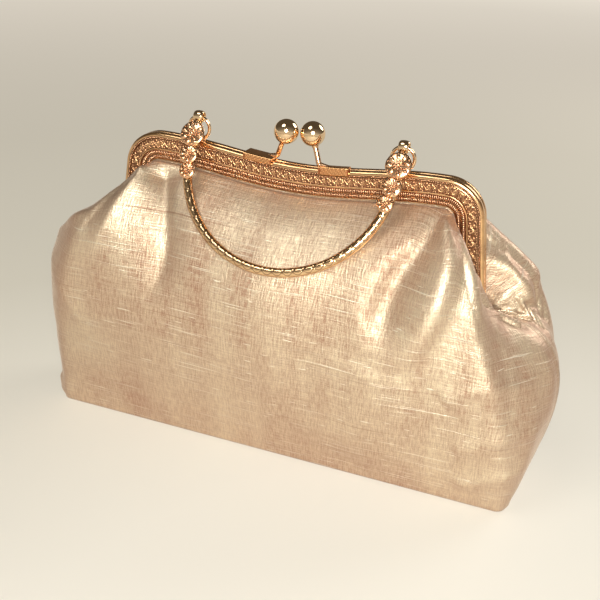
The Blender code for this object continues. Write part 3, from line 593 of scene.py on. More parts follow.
def channelSection():
    # Inward and depth, and 1 where the metal is polished or 0 in a recess, which the gold finish paints with
    # shade.
    layout, r = bandLayout, frameSizes["rounding"] / mm
    depth, wall, inner = channelDepth / mm, channelWall / mm, gap / 2 / mm
    arc = [(math.cos(k * quarter / 6), math.sin(k * quarter / 6)) for k in range(7)]
    section = [(r * (1 - a), depth - r + r * b, 1) for a, b in arc]
    section += layout["beadGroove"]
    section += [(reach, layout["scrollFloor"], 0) for reach in layout["scroll"]]
    rise = layout["lineRise"]
    for k in range(7):                                 # the bright line
        a, b = math.cos(k * math.pi / 6), math.sin(k * math.pi / 6)
        section.append((layout["line"] - layout["lineRadius"] * a, layout["lineTop"] - rise + rise * b, 1))
    section += layout["ribGrooves"]
    band, crown = channelBand / mm, crownWall / mm
    edge, high, low = layout["rim"]
    section += [(band - edge, high, 1), (band, low, 1), (band, depth - wall, 1), (crown, depth - wall, 1)]
    section += [(crown, inner + wall, 1), (band, inner + wall, 1), (band, inner, 1)]
    r = layout["innerRounding"]
    arc = [(math.cos(k * quarter / 4), math.sin(k * quarter / 4)) for k in range(5)]
    section += [(r * (1 - b), inner + r * (1 - a), 1) for a, b in arc]
    return [(a * mm, d * mm, polishedUnshaded) for a, d, polishedUnshaded in section]


def scrollHeights(along, across):
    # One period of a running scroll: a waving stem, a spiral with a blossom in each bay, leaves and seeds.
    shape = scrollShape
    period = shape["period"]
    strokes = []                                       # along, across, width and height
    for s in np.linspace(-1.5, period + 1.5, 150):
        strokes.append((s, shape["wave"] * math.sin(math.tau * s / period), shape["stem"], 1))
    for bay in (-1, 0, 1, 2):
        hand = 1 if bay % 2 == 0 else -1
        middle = (bay + 0.5) * period / 2
        for t in np.linspace(0, 1, 40):
            angle = quarter + t * shape["spiralTurn"]
            radius = shape["spiral"][0] - shape["spiral"][1] * t
            width = shape["spiralStem"][0] - shape["spiralStem"][1] * t
            up = hand * (shape["spiralShift"] + radius * math.sin(angle))
            strokes.append((middle - hand * radius * math.cos(angle), up, width, 1))
        strokes.append((middle, hand * shape["spiralShift"], shape["dot"], 1))
        strokes.append((middle, hand * shape["tip"], shape["dot"], 1))
        for lean in (-1, 1):
            for start, up, rise, width, taper in shape["leaves"]:
                for t in np.linspace(0, 1, 8):
                    place = middle + lean * (start + shape["leafRun"] * t)
                    strokes.append((place, hand * (up + rise * t), width * (1 - taper * t), 1))
    pitch = period / round(period / shape["seedPitch"])
    for row in range(-4, 5):                           # fine seeds fill the ground
        for k in range(-2, round(period / pitch) + 3):
            place = (k + row % 2 / 2) * pitch
            strokes.append((place, row * pitch * shape["seedRow"], shape["seed"], shape["seedHeight"]))
    strokes = np.array(strokes)
    near = np.hypot(along[..., None] - strokes[:, 0], across[..., None] - strokes[:, 1]) / strokes[:, 2]
    return (np.sqrt(np.clip(1 - near ** 2, 0, 1)) * strokes[:, 3]).max(-1)


def makeScrollBand(name, side):
    shape, (start, end) = scrollShape, bandLayout["scroll"]
    floor, rise = bandLayout["scrollFloor"], bandLayout["scrollRise"]
    middle, half = (start + end) / 2, (end - start) / 2
    steps = shape["steps"]                             # in a period
    pitch = shape["period"] / steps
    count = int((halfLength(middle * mm) / mm - shape["end"]) / pitch)
    index = np.arange(-count, count + 1)
    across = np.linspace(-half, half, shape["rows"])
    cell = scrollHeights(*np.meshgrid(np.arange(steps) * pitch, across, indexing="ij"))
    heights = cell[index % steps]
    loops, relief = [], []
    for row, reach in zip(heights, index * pitch * mm):
        depths = floor + shape["ground"] + row * rise
        depths[0] = depths[-1] = floor + shape["edge"]
        under = floor - shape["under"]
        section = list(zip(middle + across, depths)) + [(end, under), (start, under)]
        station = spotAt(reach, middle * mm)
        loops.append([atFrame(station, a * mm, side * d * mm) for a, d in section])
        # The scroll's heights as relief: its low ground and its underside get painted shade.
        relief += list(row) + [0, 0]
    mesh = sweptMesh(name, loops)
    addRelief(mesh, relief)
    return addPiece(name, mesh, gold["embossedGold"])


def newTree(name, sizes):
    # An empty Geometry Nodes tree with one geometry, its sizes and a material as inputs.
    tree = bpy.data.node_groups.new(name, "GeometryNodeTree")
    addSockets(tree, "INPUT", "Geometry", ["Geometry"])
    addSockets(tree, "INPUT", "Float", sizes)
    addSockets(tree, "INPUT", "Material", ["Finish"])
    addSockets(tree, "OUTPUT", "Geometry", ["Geometry"])
    return tree, addNode(tree, "NodeGroupInput").outputs


def endTree(tree, given, geometry):
    real = addNode(tree, "GeometryNodeRealizeInstances", {0: geometry})
    smooth = addNode(tree, "GeometryNodeSetShadeSmooth", {0: real.outputs[0]})
    dressed = addNode(tree, "GeometryNodeSetMaterial", {0: smooth.outputs[0], "Material": given["Finish"]})
    addNode(tree, "NodeGroupOutput", {0: dressed.outputs[0]})
    return tree


def copies(tree, points, instance, **inputs):
    given = {"Points": points, "Instance": instance, **inputs}
    return addNode(tree, "GeometryNodeInstanceOnPoints", given).outputs[0]


def pointsAlong(tree, given):
    curve = addNode(tree, "GeometryNodeMeshToCurve", {0: given["Geometry"]}).outputs[0]
    spaced = {"Curve": curve, "Length": given["Pitch"]}
    return addNode(tree, "GeometryNodeResampleCurve", spaced, mode="LENGTH").outputs[0]


def makeBeadTree():
    tree, given = newTree("beadRow", {"Pitch": 0.8 * mm, "Radius": 0.35 * mm})
    bead = addNode(tree, "GeometryNodeMeshIcoSphere", {"Radius": given["Radius"], "Subdivisions": 2})
    return endTree(tree, given, copies(tree, pointsAlong(tree, given), bead.outputs[0]))


def makeRibTree():
    # Short half-round ribs that lie across a path in a plane of constant y.
    tree, given = newTree("ribRow", {"Pitch": 0.9 * mm, "Radius": 0.35 * mm, "Length": 2 * mm})
    points = pointsAlong(tree, given)
    level = (0.0, 1.0, 0.0)
    tangent = addNode(tree, "GeometryNodeInputTangent").outputs[0]
    across = addNode(tree, "ShaderNodeVectorMath", {0: level, 1: tangent}, operation="CROSS_PRODUCT")
    axes = {0: across.outputs[0], 1: level}
    turn = addNode(tree, "FunctionNodeAxesToRotation", axes, primary_axis="Z", secondary_axis="Y")
    sizes = {"Vertices": 8, "Radius": given["Radius"], "Depth": given["Length"]}
    rib = addNode(tree, "GeometryNodeMeshCylinder", sizes)
    return endTree(tree, given, copies(tree, points, rib.outputs["Mesh"], Rotation=turn.outputs[0]))


def growFrom(name, points, tree, sizes, material):
    # The tree's result on a line of points, as a plain mesh piece.
    mesh = bpy.data.meshes.new(name + "Line")
    mesh.from_pydata([tuple(p) for p in points], [(k, k + 1) for k in range(len(points) - 1)], [])
    carrier = bpy.data.objects.new(name + "Line", mesh)
    scene.collection.objects.link(carrier)
    modifier = carrier.modifiers.new(tree.name, "NODES")
    modifier.node_group = tree
    sockets = {item.name: item.identifier for item in tree.interface.items_tree if item.in_out == "INPUT"}
    for key, value in {**sizes, "Finish": material}.items():
        modifier[sockets[key]] = value
    result = bpy.data.meshes.new_from_object(carrier.evaluated_get(bpy.context.evaluated_depsgraph_get()))
    bpy.data.objects.remove(carrier, do_unlink=True)
    result.name = name
    return addPiece(name, result, material)


beadTree, ribTree = makeBeadTree(), makeRibTree()


def growOnFrame(name, inward, depth, side, tree, sizes):
    # A row along the frame; all in millimetres.
    reach = halfLength(inward * mm) - bandLayout["rowEnd"] * mm
    reaches = np.linspace(-reach, reach, int(2 * reach / (bandLayout["rowStep"] * mm)))
    line = frameLoops(reaches, inward * mm, [(inward * mm, depth * mm)], side)
    sizes = {key: value * mm for key, value in sizes.items()}
    return growFrom(name, [loop[0] for loop in line], tree, sizes, gold["roseGold"])


def makeEars(name, side):
    # Both ears of a frame half: plates that widen into the hinge's disc, bored for the rivets.
    front, thickness = side < 0, frameSizes["earWall"]
    start = frameSizes["earInset"] + (0 if front else thickness + gap)
    near = channelWall + gap / 2
    if front:
        near = max(channelMiddle - (channelDepth - frameSizes["rounding"]), gap)
    far = channelDepth - channelWall / 2
    bottom, radius, hole = frameSizes["hinge"], frameSizes["ear"], frameSizes["rivet"] + gap
    top, face = armEnd + frameSizes["earOverlap"], armX(armEnd + frameSizes["earOverlap"] / 2)
    outline, bore = [], []
    for angle in np.linspace(0, math.tau, 64, endpoint=False):
        y, z = math.cos(angle), math.sin(angle)
        inArm = z > 0 and near <= side * y * radius <= far
        outline.append((y * radius, top - bottom if inArm else z * radius))
        bore.append((y * hole, z * hole))
    points, faces = [], []
    for hand in (-1, 1):
        first = len(points)
        for ring, inward in ((bore, 0), (outline, 0), (outline, thickness), (bore, thickness)):
            points += [(hand * (face - start - inward), y, bottom + z) for y, z in ring]
        faces += (np.array(gridFaces(4, len(bore), True, True)) + first).tolist()
    return addPiece(name, closedMesh(name, points, faces), gold["roseGold"], 40)


def makeFrame(label, side, body):
    layout, section = bandLayout, channelSection()
    reaches = np.linspace(-halfLength(0), halfLength(0), 420)
    mesh = sweptMesh(label, frameLoops(reaches, 0, [spot[:2] for spot in section], side))
    addRelief(mesh, [spot[2] for spot in section] * len(reaches))
    channel = addPiece(label + "Channel", mesh, gold["embossedGold"], 30)
    rows = [channel, makeScrollBand(label + "ScrollBand", side)]
    sizes = {"Pitch": layout["beadPitch"], "Radius": layout["beadRadius"]}
    rows.append(growOnFrame(label + "Beads", layout["bead"], layout["beadDepth"], side, beadTree, sizes))
    for row, (start, end, pitch, radius, depth) in layout["ribs"].items():
        sizes = {"Pitch": pitch, "Radius": radius, "Length": end - start}
        rows.append(growOnFrame(f"{label}{row}Ribs", (start + end) / 2, depth, side, ribTree, sizes))
    rows.append(makeEars(label + "Ears", side))
    for piece in rows:
        dress(piece, body, body)


makeFrame("frontFrame", -1, "front_frame")
makeFrame("backFrame", 1, "back_frame")
print("frame ready")


# Clasp: plates with bent stems, and polished balls

claspSizes = {
    "ball": 6.3 * mm, "clearance": 0.3 * mm, "height": 16.1 * mm, "crossing": 1.5 * mm,
    "start": 12.6 * mm, "end": 28.1 * mm, "plate": 1.2 * mm, "skirt": 2.4 * mm, "skirtWall": 0.45 * mm,
    "stem": 1.1 * mm, "stemLook": 1.35 * mm, "bend": 3 * mm, "seat": 0.05 * mm,
    "lip": 1.6 * mm,                   # how far the back plate's lip hangs over the front half
    "round": 0.12 * mm, "soft": 0.3 * mm, "flare": 0.45 * mm, "flareLength": 1.6 * mm,
    "embossing": 0.28 * mm, "faceRoom": 0.35 * mm, "faceBack": 0.04 * mm,      # the embossed face
    "rimRise": 0.02 * mm, "rimTop": 0.1 * mm, "topEdge": 0.4 * mm,
    "footSink": 1.3 * mm, "kneeSink": 0.5 * mm,                  # the stem's foot, sunk into the plate
    "neck": 1.2 * mm, "weld": 0.1 * mm,                          # before the ball, and into it
}


def makePlate(label, hand, side, low, lip):
    # A cap over the channels' top, from one depth to the other, with an embossed face that hangs in front.
    sizes = claspSizes
    edge, soft, wall = sizes["round"], sizes["soft"], sizes["skirtWall"]
    outer, top = channelDepth + gap + wall, -gap - sizes["plate"]
    section = [(lip, outer - wall, 1), (lip, outer - edge, 1), (lip - edge, outer, 1)]
    for a in np.linspace(lip - soft, top + soft + sizes["faceRoom"], 9):
        section.append((a, outer - sizes["faceBack"], 0))
    section += [(top + soft, outer + sizes["rimRise"], 1), (top + sizes["rimTop"], outer - edge, 1)]
    section += [(top, outer - sizes["topEdge"], 1), (top - edge, (outer + low) / 2, 1)]
    section += [(top, low + soft, 1), (top + soft, low, 1), (-gap, low, 1), (-gap, outer - wall, 1)]
    places = np.linspace(sizes["start"], sizes["end"], 60)
    loops, relief = [], []
    for k, x in enumerate(places):
        station, loop = spotAt(hand * x), []
        for n, (a, d, polishedUnshaded) in enumerate(section):
            bump = 0.0
            if not polishedUnshaded and 3 < k < len(places) - 4:
                bump = 0.5 + 0.5 * math.sin(k * 1.15 + (n % 2) * 1.9) * math.cos(n * 2.1 + k * 0.37)
            loop.append(atFrame(station, a, side * (d + bump * sizes["embossing"])))
            # The embossed face gets painted shade, darkest where it lies lowest.
            relief.append(1.0 if polishedUnshaded else 0.15 + 0.6 * bump)
        loops.append(loop)
    mesh = sweptMesh(label + "Plate", loops)
    addRelief(mesh, relief)
    return addPiece(label + "Plate", mesh, gold["plateGold"], 40)


def makeBall(name, centre, radius):
    shape = bmesh.new()
    bmesh.ops.create_uvsphere(shape, u_segments=64, v_segments=40, radius=radius)
    mesh = bpy.data.meshes.new(name)
    shape.to_mesh(mesh)
    shape.free()
    mesh.transform(Matrix.Translation(centre))
    mesh.shade_smooth()
    return addPiece(name, mesh, gold["ballGold"])


def makeClasp(label, name, hand):
    sizes = claspSizes
    side, bend, outer = -hand, sizes["bend"], channelDepth + gap + sizes["skirtWall"] / 2
    low, lip = (gap, sizes["skirt"]) if hand > 0 else (-outer, sizes["lip"])
    plate = makePlate(label, hand, -1, low, lip)
    ball = np.array((hand * (sizes["ball"] + sizes["clearance"] / 2), -side * sizes["crossing"],
                     railHeight(0) + sizes["height"]))
    depth, lift = side * channelMiddle, -gap - sizes["stem"] - sizes["seat"]
    foot, knee, toe = (spotAt(hand * (sizes["start"] + k * bend)) for k in (2, 1, 0))
    heel = atFrame(toe, lift - bend / 2, depth) - np.array((hand * bend / 4, 0, 0))
    up = (ball - heel) / np.linalg.norm(ball - heel)
    line = smoothLine([
        atFrame(foot, lift + sizes["footSink"], depth),
        atFrame(knee, lift + sizes["kneeSink"], depth),
        atFrame(toe, lift - bend / 8, depth),
        heel,
        heel + up * bend / 2,
        heel + up * bend,
        ball - up * (sizes["ball"] + sizes["neck"]),
        ball - up * (sizes["ball"] - sizes["weld"]),
    ], 6)
    left = np.linalg.norm(line - line[-1], axis=1)
    flare = sizes["flare"] * np.clip(1 - left / sizes["flareLength"], 0, 1) ** 2     # where it meets the ball
    mesh = sweptMesh(label + "Stem", tubeLoops(line, sizes["stemLook"] + flare, 20))
    stem = addPiece(label + "Stem", mesh, gold["roseGold"], 50)
    sphere = makeBall(label + "Ball", ball, sizes["ball"])
    for piece, node in ((plate, "clasp_plate"), (stem, "clasp_plate"), (sphere, "clasp_ball")):
        dress(piece, f"{name}_frame", f"{name}_{node}")


makeClasp("rightClasp", "front", 1)
makeClasp("leftClasp", "back", -1)
print("clasp ready")


# Rings, eyes, engraved bar and blossoms

handleSizes = {
    "ringRadius": 5.7 * mm, "ringWire": 0.9 * mm, "ringRise": 1.25 * mm,
    "radius": 54 * mm, "straight": 17.5 * mm, "lean": math.radians(32), "bar": 2 * mm,
    "eyeInner": 1.6 * mm, "eyeOuter": 3.2 * mm, "eyeWidth": 5 * mm, "barStart": 3.2 * mm,
    "barLook": 2.35 * mm, "engraving": 0.18 * mm, "diamond": 5.2 * mm,
    "cutSwing": 0.95, "cutWidth": 0.2, "edgeAt": 1.45, "edgeWidth": 0.12,      # radians round the bar
}
archRadius, straight = handleSizes["radius"], handleSizes["straight"]


def ringCentre(hand):
    rise = handleSizes["ringRise"] + handleSizes["ringRadius"]
    return np.array((hand * archRadius, -channelMiddle, railHeight(archRadius) + rise))


swingAxis = ringCentre(1) + np.array((-archRadius, 0, handleSizes["ringRadius"]))
leanSine, leanCosine = math.sin(handleSizes["lean"]), math.cos(handleSizes["lean"])
handleDown, handleOut = np.array((0, -leanSine, -leanCosine)), np.array((0, -leanCosine, leanSine))


def handlePlace(x, down, out=0.0):
    # Across, down from the swing axis, and out of the handle's plane.
    return swingAxis + np.array((x, 0, 0)) + handleDown * down + handleOut * out


def makeRing(name, hand):
    wire, radius = handleSizes["ringWire"], handleSizes["ringRadius"]
    turns = np.linspace(0, math.tau, 16, endpoint=False)
    section = [(wire * math.sin(t), radius + wire * math.cos(t)) for t in turns]
    return addPiece(name, spunMesh(name, ringCentre(hand), (0, 1, 0), section, 72), gold["ballGold"])


def makeEye(name, hand):
    half, inner, outer = handleSizes["eyeWidth"] / 2, handleSizes["eyeInner"], handleSizes["eyeOuter"]
    turns = np.linspace(0, math.tau, 24, endpoint=False)               # a rounded barrel wall
    section = [(half * math.cos(t), (inner + outer) / 2 + (outer - inner) / 2 * math.sin(t)) for t in turns]
    mesh = spunMesh(name, handlePlace(hand * archRadius, 0), (1, 0, 0), section, 48)
    return addPiece(name, mesh, gold["ballGold"])


def makeBar():
    sizes = handleSizes
    down, count, sides = straight - sizes["barStart"], 620, 32
    length = 2 * down + math.pi * archRadius
    path, along = [], np.linspace(0, length, count)
    for reach in along:
        angle = min(max((reach - down) / archRadius, 0), math.pi)
        below = straight + archRadius * math.sin(angle) + min(min(reach, length - reach) - down, 0)
        path.append(handlePlace(-archRadius * math.cos(angle), below, sizes["barLook"] - sizes["bar"]))
    path = np.array(path)
    angles = np.arange(sides) * math.tau / sides
    wrapped = np.where(angles > math.pi, angles - math.tau, angles)[None, :]        # 0 at the bar's front
    cut = np.zeros((count, sides))
    for hand in (-1, 1):                                # two winding cuts that cross to diamonds
        track = hand * sizes["cutSwing"] * np.sin(math.pi * along[:, None] / sizes["diamond"])
        cut = np.maximum(cut, np.exp(-((wrapped - track) / sizes["cutWidth"]) ** 2))
    cut *= np.clip((1.5 - np.abs(wrapped)) / 0.3, 0, 1)
    edge = (np.abs(wrapped) - sizes["edgeAt"]) / sizes["edgeWidth"]
    cut = np.maximum(cut, np.exp(-edge ** 2) * 0.5)     # a fine line along each side
    across = np.cross(headings(path), handleOut)[:, None, :]
    ring = np.cos(angles)[None, :, None] * handleOut + np.sin(angles)[None, :, None] * across
    radius = sizes["barLook"] - sizes["engraving"] * cut
    mesh = sweptMesh("handleBar", path[:, None, :] + ring * radius[:, :, None])
    # The engraved cuts get painted shade.
    addRelief(mesh, (1 - 0.75 * cut).ravel())
    return addPiece("handleBar", mesh, gold["barGold"])


blossomSizes = {                   # radius, place down from the swing axis, shift inwards, twist
    "large": (6.5 * mm, 10.2 * mm, 0, 0.2),
    "middle": (5.0 * mm, 21.0 * mm, 0.6 * mm, 0.6),
    "lower": (4.3 * mm, 29.4 * mm, 0.8 * mm, 0.05),
}
blossomCounts = {"Height": 2.6 * mm, "Petals": 8.0, "Stamens": 9.0}
# Rounded parts: segments and rings; width, depth and height; lift and reach from the axis, all as shares of
# the blossom's radius or height; how many stand round the axis, and their turn as a share of a step
blossomParts = (
    (40, 14, 1.0, 1.0, 0.42, 0.36, 0.0, None, 0.0),              # back plate
    (12, 8, 0.27, 0.165, 0.24, 0.68, 0.66, "Petals", 0.0),
    (8, 6, 0.2, 0.035, 0.1, 0.88, 0.68, "Petals", 0.0),          # a petal's vein
    (8, 6, 0.055, 0.055, 0.12, 0.66, 0.86, "Petals", 0.5),       # beads between the petals
    (8, 6, 0.15, 0.045, 0.1, 0.88, 0.22, "Stamens", 0.25),
    (8, 6, 0.06, 0.06, 0.12, 0.9, 0.37, "Stamens", 0.25),        # a stamen's tip
    (16, 10, 0.13, 0.13, 0.2, 0.86, 0.0, None, 0.0),             # button
)


def makeBlossomTree():
    # A cast blossom on one point.
    tree, given = newTree("castBlossom", {"Radius": 5 * mm, **blossomCounts})
    radius, height = given["Radius"], given["Height"]

    def vector(x, y, z):
        return addNode(tree, "ShaderNodeCombineXYZ", {0: x, 1: y, 2: z}).outputs[0]

    whole = addNode(tree, "GeometryNodeJoinGeometry")
    for segments, rings, wide, deep, tall, lift, reach, crowd, shift in blossomParts:
        ball = {"Segments": segments, "Rings": rings, "Radius": 1.0}
        part = addNode(tree, "GeometryNodeMeshUVSphere", ball).outputs[0]
        place = vector(times(tree, radius, reach), 0.0, times(tree, height, lift))
        size = vector(times(tree, radius, wide), times(tree, radius, deep), times(tree, height, tall))
        moved = {0: part, "Translation": place, "Scale": size}
        part = addNode(tree, "GeometryNodeTransform", moved).outputs[0]
        if crowd:
            spots = {"Count": given[crowd], "Offset": (0.0, 0.0, 0.0)}
            spots = addNode(tree, "GeometryNodeMeshLine", spots).outputs[0]
            index = addNode(tree, "GeometryNodeInputIndex").outputs[0]
            step = combine(tree, "DIVIDE", math.tau, given[crowd])
            turn = vector(0.0, 0.0, times(tree, plus(tree, index, shift), step))
            part = copies(tree, spots, part, Rotation=turn)
        tree.links.new(part, whole.inputs[0])
    return endTree(tree, given, whole.outputs[0])


blossomTree = makeBlossomTree()


def makeBlossom(name, size, hand):
    radius, down, inward, twist = blossomSizes[size]
    sizes = {"Radius": radius, **blossomCounts}
    piece = growFrom(name, [(0, 0, 0), (0, 0, 1e-4)], blossomTree, sizes, gold["roseGold"])
    halfWidth = math.sqrt(archRadius ** 2 - max(down - straight, 0) ** 2)
    place = handlePlace(hand * (halfWidth - inward), down, handleSizes["bar"] + gap * 0.2)
    axes = Matrix((np.cross(handleDown, handleOut), handleDown, handleOut)).transposed().to_4x4()
    piece.data.transform(Matrix.Translation(place) @ axes @ Matrix.Rotation(twist * hand, 4, "Z"))
    return piece


for sideName, hand in (("left", -1), ("right", 1)):
    dress(makeRing(sideName + "Ring", hand), "front_frame", sideName + "_ring")
    dress(makeEye(sideName + "HandleEye", hand), "handle", sideName + "_handle_eye")
dress(makeBar(), "handle", "handle_bar")
for sideName, hand in (("left", -1), ("right", 1)):
    for size in blossomSizes:
        blossom = makeBlossom(f"{sideName}{size.capitalize()}Blossom", size, hand)
        dress(blossom, "handle", f"{sideName}_{size}_flower")
print("handle ready")


# Pouch: strings of cloth from the base's edge to the frame

pouchSizes = {
    "baseLength": 130.5 * mm, "baseDepth": 27 * mm, "baseCorner": 5 * mm,
    "swellHeight": 45 * mm, "swell": 13 * mm, "puff": 62 * mm, "puffRise": 28 * mm,
    "seamTop": 93 * mm, "seamTopX": 98 * mm, "seamRise": 0.4, "earRound": 0.25,
    "foldOut": 1 * mm, "foldDown": 1.3 * mm, "foldBack": -0.3 * mm, "foldSag": 0.15 * mm,
    "silk": 0.6 * mm, "cord": 0.8 * mm, "lining": 0.4 * mm, "liningInset": 1 * mm,
    "silkBaseInset": 0.6 * mm, "liningBaseInset": 1.5 * mm, "liningBase": 3.2 * mm,
    "columns": 2 * 150 + 1, "rows": 130,
}
halfBase, halfBaseDepth, baseCorner = (pouchSizes["base" + key] for key in ("Length", "Depth", "Corner"))
clothRows = pouchSizes["rows"]
# Shares along half a panel: at its middle, quarter, half, three quarters and its side seam
panelShares = {
    "frontleft": {
        "turn": (0, 0, 0.1, 0.82, 1), "swell": (1, 1, 0.9, 0, 1.2),
        "puff": (1, 0.91, 0.89, 1.22, 0.98), "rise": (1, 0.98, 0.72, 0.15, -0.45),
    },
    "frontright": {
        "turn": (0, 0, 0.1, 0.55, 1), "swell": (1, 1, 1.1, 1.1, 1.4),
        "puff": (1, 0.91, 0.89, 0.56, 0.96), "rise": (1, 0.98, 0.75, 0.3, -0.45),
    },
    "backleft": {
        "turn": (0, 0, 0.1, 0.75, 1), "swell": (1, 1, 0.9, 0.3, 1.2),
        "puff": (1, 0.91, 0.87, 0.97, 0.96), "rise": (1, 0.98, 0.8, 0.2, -0.45),
    },
    "backright": {
        "turn": (0, 0, 0.1, 0.7, 1), "swell": (1, 1, 1.1, 1, 1.4),
        "puff": (1, 0.91, 0.91, 1.06, 0.96), "rise": (1, 0.98, 0.7, -0.6, -0.45),
    },
}
# Lengths along the frame and round its end, and along the base: rail, corner, arm, up to the ear, round it
frameLengths = (halfRail, (corner - channelBand) * armTurn, armLength,
                armEnd - pouchSizes["seamTop"], channelDepth + pouchSizes["foldOut"])
baseLengths = (halfBase - baseCorner, baseCorner * quarter, halfBaseDepth - baseCorner)
frameMarks, baseMarks = (0, 6, 10, 12, 14, 15), (0, 10, 12, 15)       # columns of the CAD panel


def shareAt(shares, place):
    last = len(shares) - 1
    spot = min(max(place, 0), 1) * last
    first = min(int(spot), last - 1)
    t = spot - first
    before, start, end = shares[max(first - 1, 0)], shares[first], shares[first + 1]
    after = shares[min(first + 2, last)]
    return (start * (2 * t ** 3 - 3 * t ** 2 + 1) + (end - before) / 2 * (t ** 3 - 2 * t ** 2 + t)
            + end * (3 * t ** 2 - 2 * t ** 3) + (after - start) / 2 * (t ** 3 - t ** 2))


def baseSpot(reach):
    flat, bend, side = baseLengths
    if reach < flat:
        return np.array((reach, -halfBaseDepth, 0))
    if reach < flat + bend:
        angle = (reach - flat) / baseCorner
        return np.array((flat + baseCorner * math.sin(angle), -side - baseCorner * math.cos(angle), 0))
    return np.array((halfBase, -side + (reach - flat - bend), 0))


def lipPoints(station, fold):
    # The cloth's edge: from the fold under the frame to the cord in the groove.
    out = pouchSizes["foldOut"]
    groove = -(channelDepth - channelWall - gap - pouchSizes["silk"] / 2)
    end = crownWall + 2 * pouchSizes["cord"] + 2 * gap
    places = ((channelBand + fold, -channelDepth - out), (channelBand + out + gap, -channelDepth + gap / 2),
              (channelBand + out, groove), (channelBand / 2 + crownWall, groove), (end, groove))
    return np.array([atFrame(station, inward, y) for inward, y in places])


def seamPoints():
    x, z = pouchSizes["seamTopX"], pouchSizes["seamTop"]
    step = (armEnd - z) / 4 * pouchSizes["seamRise"]
    edge = gap / 2 + pouchSizes["silk"]
    return np.array([(x - k * gap, -gap / 2 - edge * k / 2, z + k * step) for k in range(5)])


def topRows(reach):
    # The cloth's edge at one column, which runs from the end of the channel to the side seam's top.
    flat, bend, arm, upEar, roundEar = frameLengths
    share = min(max((reach - flat) / bend, 0), 1)
    fold = pouchSizes["foldDown"] + (pouchSizes["foldBack"] - pouchSizes["foldDown"]) * share
    past = reach - flat - bend - arm
    rows = lipPoints(spotAt(min(reach, flat + bend + arm), channelBand), fold)
    if past < 0:
        return rows
    atArm, atSeam = rows, seamPoints()
    rows = atArm + (atSeam - atArm) * past / (upEar + roundEar)
    below = np.array((pouchSizes["seamTopX"] - gap, -roundEar,
                      pouchSizes["seamTop"] + roundEar * pouchSizes["earRound"]))
    if past < upEar:
        rows[0] = atArm[0] + (below - atArm[0]) * past / upEar
    else:
        rows[0] = below + (atSeam[0] - below) * (past - upEar) / roundEar
    return rows


def stringControls(frameReach, baseReach, part, atSeam):
    # One string of cloth: its foot, two control points above it and its rows at the frame.
    share = frameReach / sum(frameLengths)
    turn, swell, puff, rise = (shareAt(shares, share) for shares in panelShares[part].values())
    outward = np.array((math.sin(turn * quarter), -math.cos(turn * quarter), 0))
    foot, top = baseSpot(baseReach), topRows(frameReach)
    low = foot + outward * pouchSizes["swell"] * swell + np.array((0, 0, pouchSizes["swellHeight"]))
    high = top[0] + outward * pouchSizes["puff"] * puff - np.array((0, 0, pouchSizes["puffRise"] * rise))
    if atSeam:
        foot[1] = low[1] = high[1] = -gap / 2
    return foot, low, high, top


def panelGrid(label):
    # Points of half the pouch in the front's place: columns from the left seam to the right seam, rows up.
    frameEnds, baseEnds = np.cumsum((0,) + frameLengths), np.cumsum((0,) + baseLengths)
    last = frameMarks[-1]
    t = np.linspace(0, 1, clothRows)[:, None]
    grid = []
    for spot in np.linspace(-last, last, pouchSizes["columns"]):
        hand, side = ("left", -1) if spot < 0 else ("right", 1)
        place = abs(spot)
        reaches = np.interp(place, frameMarks, frameEnds), np.interp(place, baseMarks, baseEnds)
        foot, low, high, top = stringControls(*reaches, label + hand, place > last - 1e-9)
        line = foot * (1 - t) ** 3 + low * 3 * t * (1 - t) ** 2
        line = line + high * 3 * t ** 2 * (1 - t) + top[0] * t ** 3
        tuck = top[0] * 0.55 + top[1] * 0.45 - (0, pouchSizes["foldSag"], 0)
        grid.append(np.vstack([line, tuck[None], top[1:]]) * (side, 1, 1))
    return np.array(grid)


def gridNormals(grid):
    normal = np.cross(np.gradient(grid, axis=0), np.gradient(grid, axis=1))
    return normal / np.maximum(np.linalg.norm(normal, axis=-1, keepdims=True), 1e-12)


def relax(grid, rounds):
    # Evens the cloth between its held edges.
    top = clothRows - 1
    for _ in range(rounds):
        inner = grid[1:-1, 1:top]
        around = (grid[:-2, 1:top] + grid[2:, 1:top] + grid[1:-1, :top - 1] + grid[1:-1, 2:top + 1]) / 4
        grid[1:-1, 1:top] = inner + (around - inner) * 0.5
    return grid


